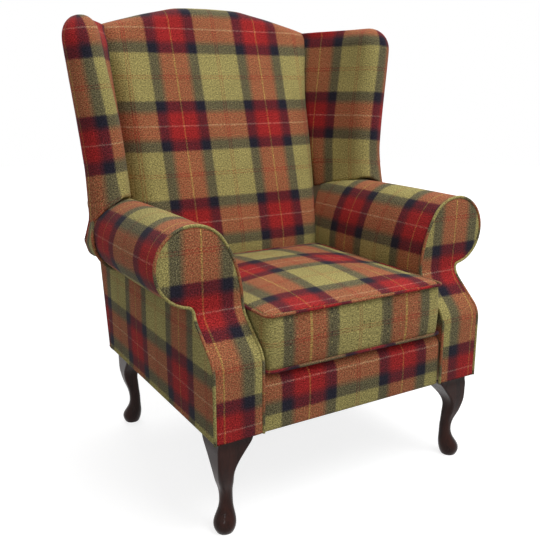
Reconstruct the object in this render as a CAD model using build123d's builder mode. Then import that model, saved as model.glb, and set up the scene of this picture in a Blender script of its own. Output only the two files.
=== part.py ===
from build123d import *
import math
import os

# Fireside chair: a wing chair with scroll arms, a humped back, a loose box cushion
# and four cabriole legs. Millimetres. +Z is up from the floor, the chair faces -Y,
# and X = 0 is its plane of symmetry. Depths are measured back from the front of the
# arm facings at the seat frame, heights up from the floor.

os.makedirs("parts", exist_ok=True)

# ---------------------------------------------------------------- overall places
FRONT_Y = -398.0            # y of the lower front plane of the arm facings
BIG = 900.0                 # more than any reach of the chair, for cutting through

# ---------------------------------------------------------------- legs
LEG_HEIGHT = 217.0
FRONT_FOOT_X = 321.0        # half the spacing of the front feet
FRONT_FOOT_DEPTH = 34.0
REAR_FOOT_X = 301.0
REAR_FOOT_DEPTH = 627.0
KNEE_SIDE = 80.0            # square block under the seat frame
KNEE_SET_BACK = 25.0        # centre of that block behind the foot, on the diagonal
KNEE_CORNER = 3.0
CALF_SIDE = 51.0
CALF_SET_BACK = 4.0
SHIN_SIDE = 37.5
SHIN_SET_OUT = 1.5
ANKLE_SIDE = 28.5
ANKLE_SET_BACK = 11.5
PAD_FOOT_DIAMETER = 48.0
PAD_FOOT_SOLE = 36.0
SECTION_FLAT = 0.6          # flat left in the middle of half a nearly round section

# ---------------------------------------------------------------- seat frame
RAIL_HEIGHT = 95.0
RAIL_THICKNESS = 28.0
SIDE_RAIL_OUTER_X = 337.0
UPRIGHT_WIDTH = 28.0
UPRIGHT_DEPTH = 70.0
UPRIGHT_LEAN_IN = 13.0      # how far the head of an upright stands in from its foot
UPRIGHT_BEND_Z = 560.0
LOWER_BACK_RAIL_Z = 340.0
LOWER_BACK_RAIL_HEIGHT = 60.0
CREST_RAIL_DROP = 153.0     # underside of the crest rail below the crest
CREST_RAIL_COVER = 30.0     # padding over the crest rail
BLOCK_LEG = 95.0            # short sides of a corner block
BLOCK_HEIGHT = 40.0
BOLT_DIAMETER = 8.0
BOLT_CLEARANCE = 0.25       # radial, in legs and blocks
BOLT_DEPTH = 30.0           # into the leg
BOLT_SET_BACK = 46.0        # behind the foot's centre, on the diagonal
WASHER_DIAMETER = 18.0
WASHER_THICKNESS = 1.6
NUT_ACROSS_FLATS = 13.0
NUT_HEIGHT = 6.5
BOLT_STAND_OUT = 2.5

# ---------------------------------------------------------------- arms
SEAT_WIDTH = 486.0          # between the arm facings
FACING_WIDTH = 113.0
FACING_THICKNESS = 22.0
ARM_HEIGHT = 646.0
SCROLL_RADIUS = 83.0
SCROLL_INSET = 4.0          # scroll centre, in from the outer side of the facing
SWEEP_RADIUS = 260.0        # sweep that joins the inner side to the scroll
NOTCH_RADIUS = 14.0         # hollow under the scroll
FACING_SET_BACK = 85.0      # how far the head of the facing stands behind its foot
S_CURVE_Z = 362.0           # height at which the front leaves the vertical
S_CURVE_RADIUS = 50.0
S_CURVE_ANGLE = 48.0        # from the vertical
PIPING_OUT = 2.0            # facing piping stands out round the edge
PIPING_IN = 4.5
PIPING_PROUD = 1.5          # and in front of the facing
PIPING_DEEP = 5.5
POST_INSET = 24.0
POST_DEPTH = 36.0
ARM_RAIL_INNER_X = 296.0
ARM_RAIL_WIDTH = 38.0
ARM_RAIL_DROP = 136.0       # underside of the arm rail below the top of the arm
ARM_RAIL_HEIGHT = 65.0
INNER_ARM_THICKNESS = 32.0
ARM_ROLL_DEPTH = 470.0      # depth at which the roll ends against the outside wing
OUTSIDE_ARM_REAR_X = 346.0
ARM_TUCK = 60.0             # how far the arm runs into the side of the inside back
UNDER_SEAM_ANGLE = -68.0    # place of the seam round the scroll
WELT_RADIUS = 3.0

# ---------------------------------------------------------------- back
BACK_DEPTH = 648.0          # rear of the chair at the seat frame
BACK_RAKE = 9.8
OUTSIDE_BACK_THICKNESS = 6.0
INSIDE_BACK_DEPTH = 520.0
INSIDE_BACK_RAKE = 16.0
INSIDE_BACK_BEND_Z = 500.0
INSIDE_BACK_HALF_WIDTH = 295.0
CREST_HEIGHT = 1103.0
CREST_SAG = 3.0             # fall of the crown from its middle to the shoulders
CREST_CROWN_HALF = 95.0
CREST_FALL = 0.2238         # fall of the shoulders for each millimetre outwards
CREST_SHOULDER_RADIUS = 200.0
CREST_FRONT_ROUND = 40.0
CREST_REAR_ROUND = 12.0
BACK_HIP_HALF = 388.0       # half widths of the outside back: at the arms' ends,
BACK_SHOULDER_HALF = 372.0  # above them,
BACK_HEAD_HALF = 306.0      # and behind the wings
BACK_HIP_DROP = 131.0       # those widths' heights, from the top of the arm
BACK_SHOULDER_RISE = 34.0
BACK_HEAD_RISE = 144.0
BACK_OUTLINE_ROUND = 16.0

# ---------------------------------------------------------------- wings
WING_THICKNESS = 97.0
WING_SPLAY = 29.5           # turn out from straight ahead, in plan
WING_X = 369.0              # centre of the front roll at the wing's base
WING_DEPTH = 490.0
WING_BASE_DROP = 46.0       # the base below the top of the arm
WING_LEAN_OUT = 0.0875      # millimetres for each millimetre up
WING_LEAN_BACK = 0.05
WING_TOP_DROP = 37.0        # front of the wing's top below the crest
WING_TOP_FALL = 0.0425
WING_TAIL = 300.0           # run of the wing's outline below its base, trimmed on the arm
WING_CORNER_RADIUS = 60.0
WING_ROUND = 46.0
WING_REACH = 360.0          # length behind the front roll, before it is trimmed
WING_INNER_X = 262.0
WING_TOE_RADIUS = 280.0     # sweep forward at the foot of the wing
WING_TOE_START = 130.0
WING_TOE_TURN = 18.0
WING_SEAT_DROP = 6.0        # foot of the wing below the top of the arm
WING_BOARD_THICKNESS = 18.0
WING_BOARD_COVER = 40.0
WING_PANEL = 5.0
WING_SEAM_LOW = 8.0         # seam behind the roll's centre, at the foot and the head
WING_SEAM_HIGH = 74.0
WING_SEAM_LOW_RISE = 60.0
WING_SEAM_HIGH_DROP = 136.0  # its upper bend below the wing's top
FLARE_RISE = 44.0           # top of the outside wing's foot above the arm
FLARE_FOOT_ANGLE = -75.0    # its lower edge and middle, as places round the scroll
FLARE_MIDDLE_ANGLE = -37.0
FLARE_HOLLOW = 4.5          # how far its side bows in
FLARE_HEAD_INSET = 10.0     # its top edge, in from its widest place
FLARE_REAR_DEPTH = 740.0
FLARE_REAR_X = 374.0
FLARE_REAR_FOOT_X = 362.0
FLARE_REAR_HEAD_X = 352.0

# ---------------------------------------------------------------- seat and cushion
WEBBING_WIDTH = 50.0
WEBBING_THICKNESS = 1.8
SEAT_STRAP_PITCH_X = 100.0
SEAT_STRAP_PITCH_Y = 98.0
SEAT_STRAPS_LONG = 5
SEAT_STRAPS_CROSS = 5
BACK_STRAPS = 4
BACK_STRAP_FIRST_Z = 470.0
BACK_STRAP_RAIL_GAP = 40.0  # below the crest rail
BACK_STRAP_LANDING = 9.0    # on the front of each upright
DECK_THICKNESS = 25.0
DECK_FRONT_DEPTH = 60.0
DECK_REAR_GAP = 1.0
COVER_FRONT_DEPTH = 8.0
COVER_TOP_DROP = 2.6        # top of the rail cover below the seat deck
COVER_ROUND = 18.0
DUST_COVER_THICKNESS = 1.5
DUST_COVER_INSET = 7.0
DUST_COVER_GAP = 1.0        # round the legs
CUSHION_CLEARANCE = 0.4     # over the seat deck
CUSHION_WIDTH = 474.0
CUSHION_DEPTH = 514.0
CUSHION_EDGE = 128.0
CUSHION_CROWN = 17.0
CUSHION_DRAW_IN = 3.0       # sides drawn in at the pipings
CUSHION_CORNER = 18.0
CUSHION_COVER = 1.5
CUSHION_WELT_RADIUS = 3.5
CUSHION_WELT_OUT = 3.0      # how far the pipings stand out of the sides
CUSHION_WELT_IN = 5.0       # piping centre, in from the upper or lower edge
ZIP_LENGTH = 380.0
ZIP_WIDTH = 14.0
ZIP_PROUD = 1.2

# ---------------------------------------------------------------- derived places
RAIL_TOP = LEG_HEIGHT + RAIL_HEIGHT
STRAP_TOP = RAIL_TOP + 2 * WEBBING_THICKNESS
DECK_TOP = STRAP_TOP + DECK_THICKNESS
CUSHION_Z = DECK_TOP + CUSHION_CLEARANCE
ARM_INNER_X = SEAT_WIDTH / 2
ARM_OUTER_X = ARM_INNER_X + FACING_WIDTH
SCROLL_X = ARM_OUTER_X - SCROLL_INSET
SCROLL_Z = ARM_HEIGHT - SCROLL_RADIUS
SCROLL_BOTTOM = SCROLL_Z - SCROLL_RADIUS
ARM_RAIL_Z = ARM_HEIGHT - ARM_RAIL_DROP
CREST_RAIL_Z = CREST_HEIGHT - CREST_RAIL_DROP
WING_BASE_Z = ARM_HEIGHT - WING_BASE_DROP
WING_RISE = CREST_HEIGHT - WING_TOP_DROP - WING_BASE_Z
WING_SEAM_HIGH_RISE = WING_RISE - WING_SEAM_HIGH_DROP
FLARE_Z = ARM_HEIGHT + FLARE_RISE
SIDE_RAIL_INNER_X = SIDE_RAIL_OUTER_X - RAIL_THICKNESS
UPRIGHT_INNER_X = SIDE_RAIL_INNER_X - UPRIGHT_WIDTH
UPRIGHT_BACK = OUTSIDE_BACK_THICKNESS
UPRIGHT_FRONT = UPRIGHT_BACK + UPRIGHT_DEPTH
PAD_BACK = UPRIGHT_FRONT + WEBBING_THICKNESS
FRAME_REAR_DEPTH = BACK_DEPTH - OUTSIDE_BACK_THICKNESS
POST_BACK = FACING_THICKNESS + POST_DEPTH
ARM_RAIL_TOP = ARM_RAIL_Z + ARM_RAIL_HEIGHT
ARM_RAIL_OUTER_X = ARM_RAIL_INNER_X + ARM_RAIL_WIDTH
DIAGONAL = math.sqrt(0.5)
RAKE = math.tan(math.radians(BACK_RAKE))
INNER_RAKE = math.tan(math.radians(INSIDE_BACK_RAKE))


def at(depth):
    """The y of a depth behind the lower front of the facings."""
    return FRONT_Y + depth


def rear_y(z, forward=0.0):
    """The y of the raked rear plane at a height, or of a plane in front of it."""
    return at(BACK_DEPTH) + (z - LEG_HEIGHT) * RAKE - forward


# ---------------------------------------------------------------- shared profiles
def arm_outline(inset=0.0):
    """Front view of the right arm, drawn in by an inset: inner side, sweep, scroll, hollow, outer side."""
    sweep_x = ARM_INNER_X + SWEEP_RADIUS
    reach = SWEEP_RADIUS - SCROLL_RADIUS
    sweep_z = SCROLL_Z - math.sqrt(reach**2 - (sweep_x - SCROLL_X) ** 2)
    sweep_end = 180 - math.degrees(math.atan2(SCROLL_Z - sweep_z, sweep_x - SCROLL_X))
    notch_x = ARM_OUTER_X + NOTCH_RADIUS
    notch_reach = SCROLL_RADIUS + NOTCH_RADIUS
    notch_z = SCROLL_Z - math.sqrt(notch_reach**2 - (notch_x - SCROLL_X) ** 2)
    notch_turn = math.degrees(math.atan2(SCROLL_Z - notch_z, notch_x - SCROLL_X))
    half_scroll = (sweep_end + notch_turn) / 2
    with BuildSketch(Plane.XZ) as outline:
        with BuildLine():
            Line((ARM_INNER_X + inset, LEG_HEIGHT), (ARM_INNER_X + inset, sweep_z))
            CenterArc((sweep_x, sweep_z), SWEEP_RADIUS - inset, 180, sweep_end - 180)
            CenterArc((SCROLL_X, SCROLL_Z), SCROLL_RADIUS - inset, sweep_end, -half_scroll)
            CenterArc((SCROLL_X, SCROLL_Z), SCROLL_RADIUS - inset, sweep_end - half_scroll, -half_scroll)
            CenterArc((notch_x, notch_z), NOTCH_RADIUS + inset, 180 - notch_turn, notch_turn)
            Line((ARM_OUTER_X - inset, notch_z), (ARM_OUTER_X - inset, LEG_HEIGHT))
            Line((ARM_OUTER_X - inset, LEG_HEIGHT), (ARM_INNER_X + inset, LEG_HEIGHT))
        make_face()
    return outline.sketch


def s_curve(depth, top):
    """Draw the S-curved front of the arm in side view, set back by a depth. Returns its ends."""
    turn = math.radians(S_CURVE_ANGLE)
    slope = (FACING_SET_BACK - 2 * S_CURVE_RADIUS * (1 - math.cos(turn))) / math.sin(turn)
    foot = Line((at(depth), LEG_HEIGHT), (at(depth), S_CURVE_Z))
    lower = JernArc(foot @ 1, (0, 1), S_CURVE_RADIUS, -S_CURVE_ANGLE)
    middle = PolarLine(lower @ 1, slope, 90 - S_CURVE_ANGLE)
    upper = JernArc(middle @ 1, middle % 1, S_CURVE_RADIUS, S_CURVE_ANGLE)
    Line(upper @ 1, (at(depth + FACING_SET_BACK), top))
    return foot @ 0, (at(depth + FACING_SET_BACK), top)


def front_band(near, far):
    """Side view of a layer between two depths behind the S-curved front."""
    with BuildSketch(Plane.YZ) as band:
        with BuildLine():
            near_foot, near_head = s_curve(near, CREST_HEIGHT)
            far_foot, far_head = s_curve(far, CREST_HEIGHT)
            Line(near_foot, far_foot)
            Line(near_head, far_head)
        make_face()
    return band.sketch


def behind_front(near, top, rear_forward):
    """Side view of all that lies behind the S-curve and in front of the raked rear, up to a height."""
    with BuildSketch(Plane.YZ) as side:
        with BuildLine():
            foot, head = s_curve(near, top)
            rear_head = (rear_y(top, rear_forward), top)
            Polyline(head, rear_head, (rear_y(LEG_HEIGHT, rear_forward), LEG_HEIGHT), foot)
        make_face()
    return side.sketch


def raked_band(front, back, low, high):
    """Side view of a layer parallel to the rear plane, given by its distances in front of it."""
    with BuildSketch(Plane.YZ) as band:
        with BuildLine():
            Polyline(
                (rear_y(low, front), low),
                (rear_y(low, back), low),
                (rear_y(high, back), high),
                (rear_y(high, front), high),
                close=True,
            )
        make_face()
    return band.sketch


def crest_outline(drop=0.0, half_width=INSIDE_BACK_HALF_WIDTH):
    """Front view of the humped back: a shallow crown, rounded shoulders and falling sides."""
    shoulder_z = CREST_HEIGHT - CREST_SAG - drop
    end_z = shoulder_z - (half_width - CREST_CROWN_HALF) * CREST_FALL
    with BuildSketch(Plane.XZ) as outline:
        with BuildLine():
            crown = (0, CREST_HEIGHT - drop)
            ThreePointArc((-CREST_CROWN_HALF, shoulder_z), crown, (CREST_CROWN_HALF, shoulder_z))
            Polyline(
                (CREST_CROWN_HALF, shoulder_z),
                (half_width, end_z),
                (half_width, 0),
                (-half_width, 0),
                (-half_width, end_z),
                (-CREST_CROWN_HALF, shoulder_z),
            )
        make_face()
        fillet(outline.vertices().group_by(Axis.Y)[-1], CREST_SHOULDER_RADIUS)
    return outline.sketch


def plate(low_x, high_x, low_depth, high_depth, height):
    """Plan of a rectangle between two x and two depths, at a height."""
    with BuildSketch(Plane.XY.offset(height)) as plan:
        with Locations(((low_x + high_x) / 2, at((low_depth + high_depth) / 2))):
            Rectangle(high_x - low_x, high_depth - low_depth)
    return plan.sketch


def slab(low_x, high_x, low_depth, high_depth, low, high):
    """A plain board given by its limits."""
    with BuildPart() as board:
        extrude(plate(low_x, high_x, low_depth, high_depth, low), amount=high - low)
    return board


def mirrored(right):
    """The left-hand piece of a pair."""
    with BuildPart() as left:
        mirror(right.part, about=Plane.YZ)
    return left


def save(piece, label):
    """Label one finished piece and write it."""
    piece.part.label = label
    export_step(piece.part, f"parts/{label}.step")


# ---------------------------------------------------------------- cabriole legs
def leg_sections():
    """Height as a share of the leg, side, corner radius and place on the outward diagonal, from the top."""
    ankle_corner = ANKLE_SIDE / 2 - SECTION_FLAT
    foot_corner = PAD_FOOT_DIAMETER / 2 - SECTION_FLAT
    return (
        (1.0, KNEE_SIDE, KNEE_CORNER, -KNEE_SET_BACK),
        (0.9, KNEE_SIDE * 0.925, KNEE_CORNER + 1, -KNEE_SET_BACK * 0.82),
        (0.84, (KNEE_SIDE + CALF_SIDE) * 0.49, KNEE_CORNER + 2, -(KNEE_SET_BACK + CALF_SET_BACK) * 0.45),
        (0.76, CALF_SIDE, KNEE_CORNER + 2, -CALF_SET_BACK),
        (0.69, (CALF_SIDE + SHIN_SIDE) * 0.48, KNEE_CORNER + 3, SHIN_SET_OUT * 0.7),
        (0.62, SHIN_SIDE, KNEE_CORNER + 5, SHIN_SET_OUT),
        (0.525, (SHIN_SIDE + ANKLE_SIDE) * 0.51, ankle_corner * 0.7, -ANKLE_SET_BACK * 0.25),
        (0.44, ANKLE_SIDE * 1.02, ankle_corner * 0.8, -ANKLE_SET_BACK * 0.7),
        (0.345, ANKLE_SIDE, ankle_corner, -ANKLE_SET_BACK),
        (0.255, ANKLE_SIDE * 1.07, ankle_corner * 1.07, -ANKLE_SET_BACK * 0.95),
        (0.175, PAD_FOOT_DIAMETER * 0.83, foot_corner * 0.83, -ANKLE_SET_BACK * 0.6),
        (0.1, PAD_FOOT_DIAMETER, foot_corner, -ANKLE_SET_BACK * 0.13),
        (0.032, PAD_FOOT_DIAMETER * 0.9, foot_corner * 0.9, 0.0),
        (0.0, PAD_FOOT_SOLE, PAD_FOOT_SOLE / 2 - SECTION_FLAT, 0.0),
    )


def bolt_place(foot_x, foot_depth, outward):
    """Where a leg bolt stands: on the leg's diagonal, behind its foot."""
    return foot_x - BOLT_SET_BACK * DIAGONAL, at(foot_depth) - outward * BOLT_SET_BACK * DIAGONAL


def cabriole_leg(foot_x, foot_depth, outward):
    """A right-hand leg that swells outwards at the knee; outward is -1 to the front and 1 to the rear."""
    with BuildPart() as leg:
        for share, side, corner, place in leg_sections():
            with BuildSketch(Plane.XY.offset(LEG_HEIGHT * share)):
                with Locations((foot_x + place * DIAGONAL, at(foot_depth) + outward * place * DIAGONAL)):
                    RectangleRounded(side, side, corner)
        loft()
        with BuildSketch(Plane.XY.offset(LEG_HEIGHT)):
            with Locations(bolt_place(foot_x, foot_depth, outward)):
                Circle(BOLT_DIAMETER / 2 + BOLT_CLEARANCE)
        extrude(amount=-BOLT_DEPTH, mode=Mode.SUBTRACT)
    return leg


leg_front_right = cabriole_leg(FRONT_FOOT_X, FRONT_FOOT_DEPTH, -1)
leg_rear_right = cabriole_leg(REAR_FOOT_X, REAR_FOOT_DEPTH, 1)
save(leg_front_right, "leg_front_right")
save(mirrored(leg_front_right), "leg_front_left")
save(leg_rear_right, "leg_rear_right")
save(mirrored(leg_rear_right), "leg_rear_left")


# ---------------------------------------------------------------- corner blocks and leg bolts
def corner_block(corner_x, corner_depth, foot_x, foot_depth, outward):
    """A triangular block glued into a corner of the seat frame, drilled for the leg bolt."""
    with BuildPart() as block:
        with BuildSketch(Plane.XY.offset(LEG_HEIGHT)):
            with BuildLine():
                Polyline(
                    (corner_x, at(corner_depth)),
                    (corner_x - BLOCK_LEG, at(corner_depth)),
                    (corner_x, at(corner_depth) - outward * BLOCK_LEG),
                    close=True,
                )
            make_face()
            with Locations(bolt_place(foot_x, foot_depth, outward)):
                Circle(BOLT_DIAMETER / 2 + BOLT_CLEARANCE, mode=Mode.SUBTRACT)
        extrude(amount=BLOCK_HEIGHT)
    return block


def leg_bolt(foot_x, foot_depth, outward):
    """A hanger bolt with its washer and nut on top of the corner block."""
    place = bolt_place(foot_x, foot_depth, outward)
    block_top = LEG_HEIGHT + BLOCK_HEIGHT
    with BuildPart() as bolt:
        with BuildSketch(Plane.XY.offset(LEG_HEIGHT - BOLT_DEPTH)):
            with Locations(place):
                Circle(BOLT_DIAMETER / 2)
        extrude(amount=BOLT_DEPTH + BLOCK_HEIGHT + WASHER_THICKNESS + NUT_HEIGHT + BOLT_STAND_OUT)
        with BuildSketch(Plane.XY.offset(block_top)):
            with Locations(place):
                Circle(WASHER_DIAMETER / 2)
        extrude(amount=WASHER_THICKNESS)
        with BuildSketch(Plane.XY.offset(block_top + WASHER_THICKNESS)):
            with Locations(place):
                RegularPolygon(NUT_ACROSS_FLATS / 2, 6, major_radius=False)
        extrude(amount=NUT_HEIGHT)
    return bolt


front_corner = (SIDE_RAIL_INNER_X, FACING_THICKNESS + RAIL_THICKNESS, FRONT_FOOT_X, FRONT_FOOT_DEPTH, -1)
rear_corner = (UPRIGHT_INNER_X, FRAME_REAR_DEPTH - RAIL_THICKNESS, REAR_FOOT_X, REAR_FOOT_DEPTH, 1)
for end, corner in (("front", front_corner), ("rear", rear_corner)):
    block_right = corner_block(*corner)
    bolt_right = leg_bolt(*corner[2:])
    save(block_right, f"corner_block_{end}_right")
    save(mirrored(block_right), f"corner_block_{end}_left")
    save(bolt_right, f"leg_bolt_{end}_right")
    save(mirrored(bolt_right), f"leg_bolt_{end}_left")

# ---------------------------------------------------------------- seat frame
front_seat_rail = slab(
    -SIDE_RAIL_OUTER_X,
    SIDE_RAIL_OUTER_X,
    FACING_THICKNESS,
    FACING_THICKNESS + RAIL_THICKNESS,
    LEG_HEIGHT,
    RAIL_TOP,
)
side_rail_right = slab(
    SIDE_RAIL_INNER_X,
    SIDE_RAIL_OUTER_X,
    FACING_THICKNESS + RAIL_THICKNESS,
    FRAME_REAR_DEPTH,
    LEG_HEIGHT,
    RAIL_TOP,
)
back_seat_rail = slab(
    -UPRIGHT_INNER_X,
    UPRIGHT_INNER_X,
    FRAME_REAR_DEPTH - RAIL_THICKNESS,
    FRAME_REAR_DEPTH,
    LEG_HEIGHT,
    RAIL_TOP,
)

# ---------------------------------------------------------------- back frame
with BuildPart() as upright_right:
    extrude(raked_band(UPRIGHT_FRONT, UPRIGHT_BACK, LEG_HEIGHT, CREST_HEIGHT), amount=BIG)
    with BuildSketch(Plane.XZ) as upright_front:
        with BuildLine():
            Polyline(
                (UPRIGHT_INNER_X, LEG_HEIGHT),
                (SIDE_RAIL_INNER_X, LEG_HEIGHT),
                (SIDE_RAIL_INNER_X, UPRIGHT_BEND_Z),
                (SIDE_RAIL_INNER_X - UPRIGHT_LEAN_IN, CREST_HEIGHT),
                (UPRIGHT_INNER_X - UPRIGHT_LEAN_IN, CREST_HEIGHT),
                (UPRIGHT_INNER_X, UPRIGHT_BEND_Z),
                close=True,
            )
        make_face()
    extrude(amount=BIG, both=True, mode=Mode.INTERSECT)
    extrude(crest_outline(CREST_RAIL_COVER), amount=BIG, both=True, mode=Mode.INTERSECT)
upright_left = mirrored(upright_right)


def back_frame_rail(low, high):
    """A rail between the uprights, flush with their front, under the line of the crest."""
    with BuildPart() as rail:
        band = raked_band(UPRIGHT_FRONT, UPRIGHT_FRONT - RAIL_THICKNESS, low, high)
        extrude(band, amount=UPRIGHT_INNER_X, both=True)
        extrude(crest_outline(CREST_RAIL_COVER), amount=BIG, both=True, mode=Mode.INTERSECT)
        add(upright_right.part, mode=Mode.SUBTRACT)
        add(upright_left.part, mode=Mode.SUBTRACT)
    return rail


crest_rail = back_frame_rail(CREST_RAIL_Z, CREST_HEIGHT)
lower_back_rail = back_frame_rail(LOWER_BACK_RAIL_Z, LOWER_BACK_RAIL_Z + LOWER_BACK_RAIL_HEIGHT)

# ---------------------------------------------------------------- arm frame
with BuildPart() as arm_post_right:
    extrude(arm_outline(POST_INSET), amount=BIG, both=True)
    extrude(front_band(FACING_THICKNESS, POST_BACK), amount=BIG, mode=Mode.INTERSECT)
    add(slab(0, BIG, 0, BIG, RAIL_TOP, CREST_HEIGHT).part, mode=Mode.INTERSECT)

with BuildPart() as arm_rail_right:
    with BuildSketch(Plane.YZ.offset(ARM_RAIL_INNER_X)):
        with BuildLine():
            Polyline(
                (at(POST_BACK + FACING_SET_BACK), ARM_RAIL_Z),
                (rear_y(ARM_RAIL_Z, UPRIGHT_FRONT), ARM_RAIL_Z),
                (rear_y(ARM_RAIL_TOP, UPRIGHT_FRONT), ARM_RAIL_TOP),
                (at(POST_BACK + FACING_SET_BACK), ARM_RAIL_TOP),
                close=True,
            )
        make_face()
    extrude(amount=ARM_RAIL_WIDTH)

# ---------------------------------------------------------------- arm upholstery
with BuildPart() as arm_right:
    extrude(arm_outline(), amount=BIG, both=True)
    with BuildSketch(Plane.YZ) as arm_side:
        with BuildLine():
            foot, head = s_curve(FACING_THICKNESS, CREST_HEIGHT)
            Polyline(head, (at(ARM_ROLL_DEPTH), CREST_HEIGHT), (at(ARM_ROLL_DEPTH), LEG_HEIGHT), foot)
        make_face()
    extrude(amount=BIG, mode=Mode.INTERSECT)
    # behind the roll the inner side runs on to the inside back, and the top beside the arm rail into it
    low_side = slab(ARM_INNER_X, ARM_RAIL_OUTER_X, ARM_ROLL_DEPTH, INSIDE_BACK_DEPTH, STRAP_TOP, ARM_HEIGHT)
    top_side = slab(
        ARM_INNER_X,
        ARM_RAIL_OUTER_X,
        ARM_ROLL_DEPTH,
        INSIDE_BACK_DEPTH + ARM_TUCK,
        SCROLL_BOTTOM,
        ARM_HEIGHT,
    )
    add(low_side.part)
    add(top_side.part)
    extrude(arm_outline(), amount=BIG, both=True, mode=Mode.INTERSECT)
    # hollow between the inner side and the outside arm, below the roll
    hollow = slab(ARM_INNER_X + INNER_ARM_THICKNESS, BIG, 0, BIG, LEG_HEIGHT, SCROLL_BOTTOM)
    add(hollow.part, mode=Mode.SUBTRACT)
    add(slab(0, BIG, 0, BIG, STRAP_TOP, CREST_HEIGHT).part, mode=Mode.INTERSECT)
    add(arm_post_right.part, mode=Mode.SUBTRACT)
    add(arm_rail_right.part, mode=Mode.SUBTRACT)

with BuildPart() as facing_piping_right:
    extrude(arm_outline(-PIPING_OUT), amount=BIG, both=True)
    extrude(arm_outline(PIPING_IN), amount=BIG, both=True, mode=Mode.SUBTRACT)
    under_foot = slab(ARM_INNER_X + PIPING_IN, ARM_OUTER_X - PIPING_IN, -BIG, BIG, 0, LEG_HEIGHT + PIPING_IN)
    add(under_foot.part, mode=Mode.SUBTRACT)
    extrude(front_band(-PIPING_PROUD, PIPING_DEEP), amount=BIG, mode=Mode.INTERSECT)

with BuildPart() as facing_right:
    extrude(arm_outline(), amount=BIG, both=True)
    extrude(front_band(0, FACING_THICKNESS), amount=BIG, mode=Mode.INTERSECT)
    add(facing_piping_right.part, mode=Mode.SUBTRACT)

with BuildPart() as outside_arm_right:
    extrude(behind_front(FACING_THICKNESS, SCROLL_BOTTOM, OUTSIDE_BACK_THICKNESS), amount=BIG)
    with BuildSketch():
        with BuildLine():
            Polyline(
                (SIDE_RAIL_OUTER_X, at(0)),
                (ARM_OUTER_X, at(0)),
                (OUTSIDE_ARM_REAR_X, at(BACK_DEPTH)),
                (OUTSIDE_ARM_REAR_X, at(BIG)),
                (SIDE_RAIL_OUTER_X, at(BIG)),
                close=True,
            )
        make_face()
    extrude(amount=BIG, mode=Mode.INTERSECT)
    add(arm_right.part, mode=Mode.SUBTRACT)

with BuildPart() as under_arm_piping_right:
    seam_x = SCROLL_X + SCROLL_RADIUS * math.cos(math.radians(UNDER_SEAM_ANGLE))
    seam_z = SCROLL_Z + SCROLL_RADIUS * math.sin(math.radians(UNDER_SEAM_ANGLE))
    with BuildSketch(Plane.XZ.offset(-at(FACING_THICKNESS + FACING_SET_BACK))):
        with Locations((seam_x, seam_z)):
            Circle(WELT_RADIUS)
    extrude(amount=-(ARM_ROLL_DEPTH - FACING_THICKNESS - FACING_SET_BACK))
    add(arm_right.part, mode=Mode.SUBTRACT)

# ---------------------------------------------------------------- wings
lean = Vector(WING_LEAN_OUT, WING_LEAN_BACK, 1).normalized()
splay = math.radians(WING_SPLAY)
backwards = Vector(-math.sin(splay), math.cos(splay), 0)
WING_PLANE = Plane(
    origin=(WING_X, at(WING_DEPTH), WING_BASE_Z),
    x_dir=backwards,
    z_dir=backwards.cross(lean),
)


def wing_outline(inset=0.0):
    """Side view of the wing in its own plane: a toe swept forward, a rounded front corner, a falling top."""
    front = -WING_THICKNESS / 2 + inset
    top = WING_RISE - inset
    with BuildSketch(WING_PLANE) as outline:
        with BuildLine():
            toe = JernArc((front, WING_TOE_START), (0, -1), WING_TOE_RADIUS, -WING_TOE_TURN)
            Polyline(
                toe @ 1,
                ((toe @ 1).X, -WING_TAIL),
                (WING_REACH, -WING_TAIL),
                (WING_REACH, top - (WING_REACH - front) * WING_TOP_FALL),
                (front, top),
                (front, WING_TOE_START),
            )
        make_face()
        corner = outline.vertices().group_by(Axis.Y)[-1].sort_by(Axis.X)[0]
        fillet(corner, WING_CORNER_RADIUS - inset)
    return outline.sketch


with BuildPart() as wing_form:
    extrude(wing_outline(), amount=WING_THICKNESS / 2, both=True)
    rim = wing_form.edges().filter_by(
        lambda edge: abs(abs(WING_PLANE.to_local_coords(edge.center()).Z) - WING_THICKNESS / 2) < 1
        and WING_PLANE.to_local_coords(edge.center()).X < WING_REACH - 1
        and WING_PLANE.to_local_coords(edge.center()).Y > 1 - WING_TAIL
    )
    fillet(rim, WING_ROUND)
    add(
        slab(WING_INNER_X, BIG, 0, BIG, ARM_HEIGHT - WING_SEAT_DROP, CREST_HEIGHT).part,
        mode=Mode.INTERSECT,
    )
    extrude(raked_band(BIG, OUTSIDE_BACK_THICKNESS, 0, CREST_HEIGHT), amount=BIG, mode=Mode.INTERSECT)

with BuildPart() as wing_board_right:
    extrude(wing_outline(WING_BOARD_COVER), amount=WING_BOARD_THICKNESS / 2, both=True)
    extrude(raked_band(BIG, UPRIGHT_FRONT, ARM_RAIL_TOP, CREST_HEIGHT), amount=BIG, mode=Mode.INTERSECT)
    add(arm_right.part, mode=Mode.SUBTRACT)

with BuildPart() as wing_skin:
    with BuildSketch(WING_PLANE.offset(WING_THICKNESS / 2 - WING_PANEL)):
        with BuildLine():
            Polyline(
                (WING_SEAM_LOW, -WING_TAIL),
                (WING_SEAM_LOW, WING_SEAM_LOW_RISE),
                (WING_SEAM_HIGH, WING_SEAM_HIGH_RISE),
                (WING_SEAM_HIGH, BIG),
                (BIG, BIG),
                (BIG, -WING_TAIL),
                close=True,
            )
        make_face()
    extrude(amount=2 * WING_PANEL)
    add(wing_form.part, mode=Mode.INTERSECT)



def on_scroll(angle):
    """The x and z of a place round the scroll."""
    turn = math.radians(angle)
    return SCROLL_X + SCROLL_RADIUS * math.cos(turn), SCROLL_Z + SCROLL_RADIUS * math.sin(turn)


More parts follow.
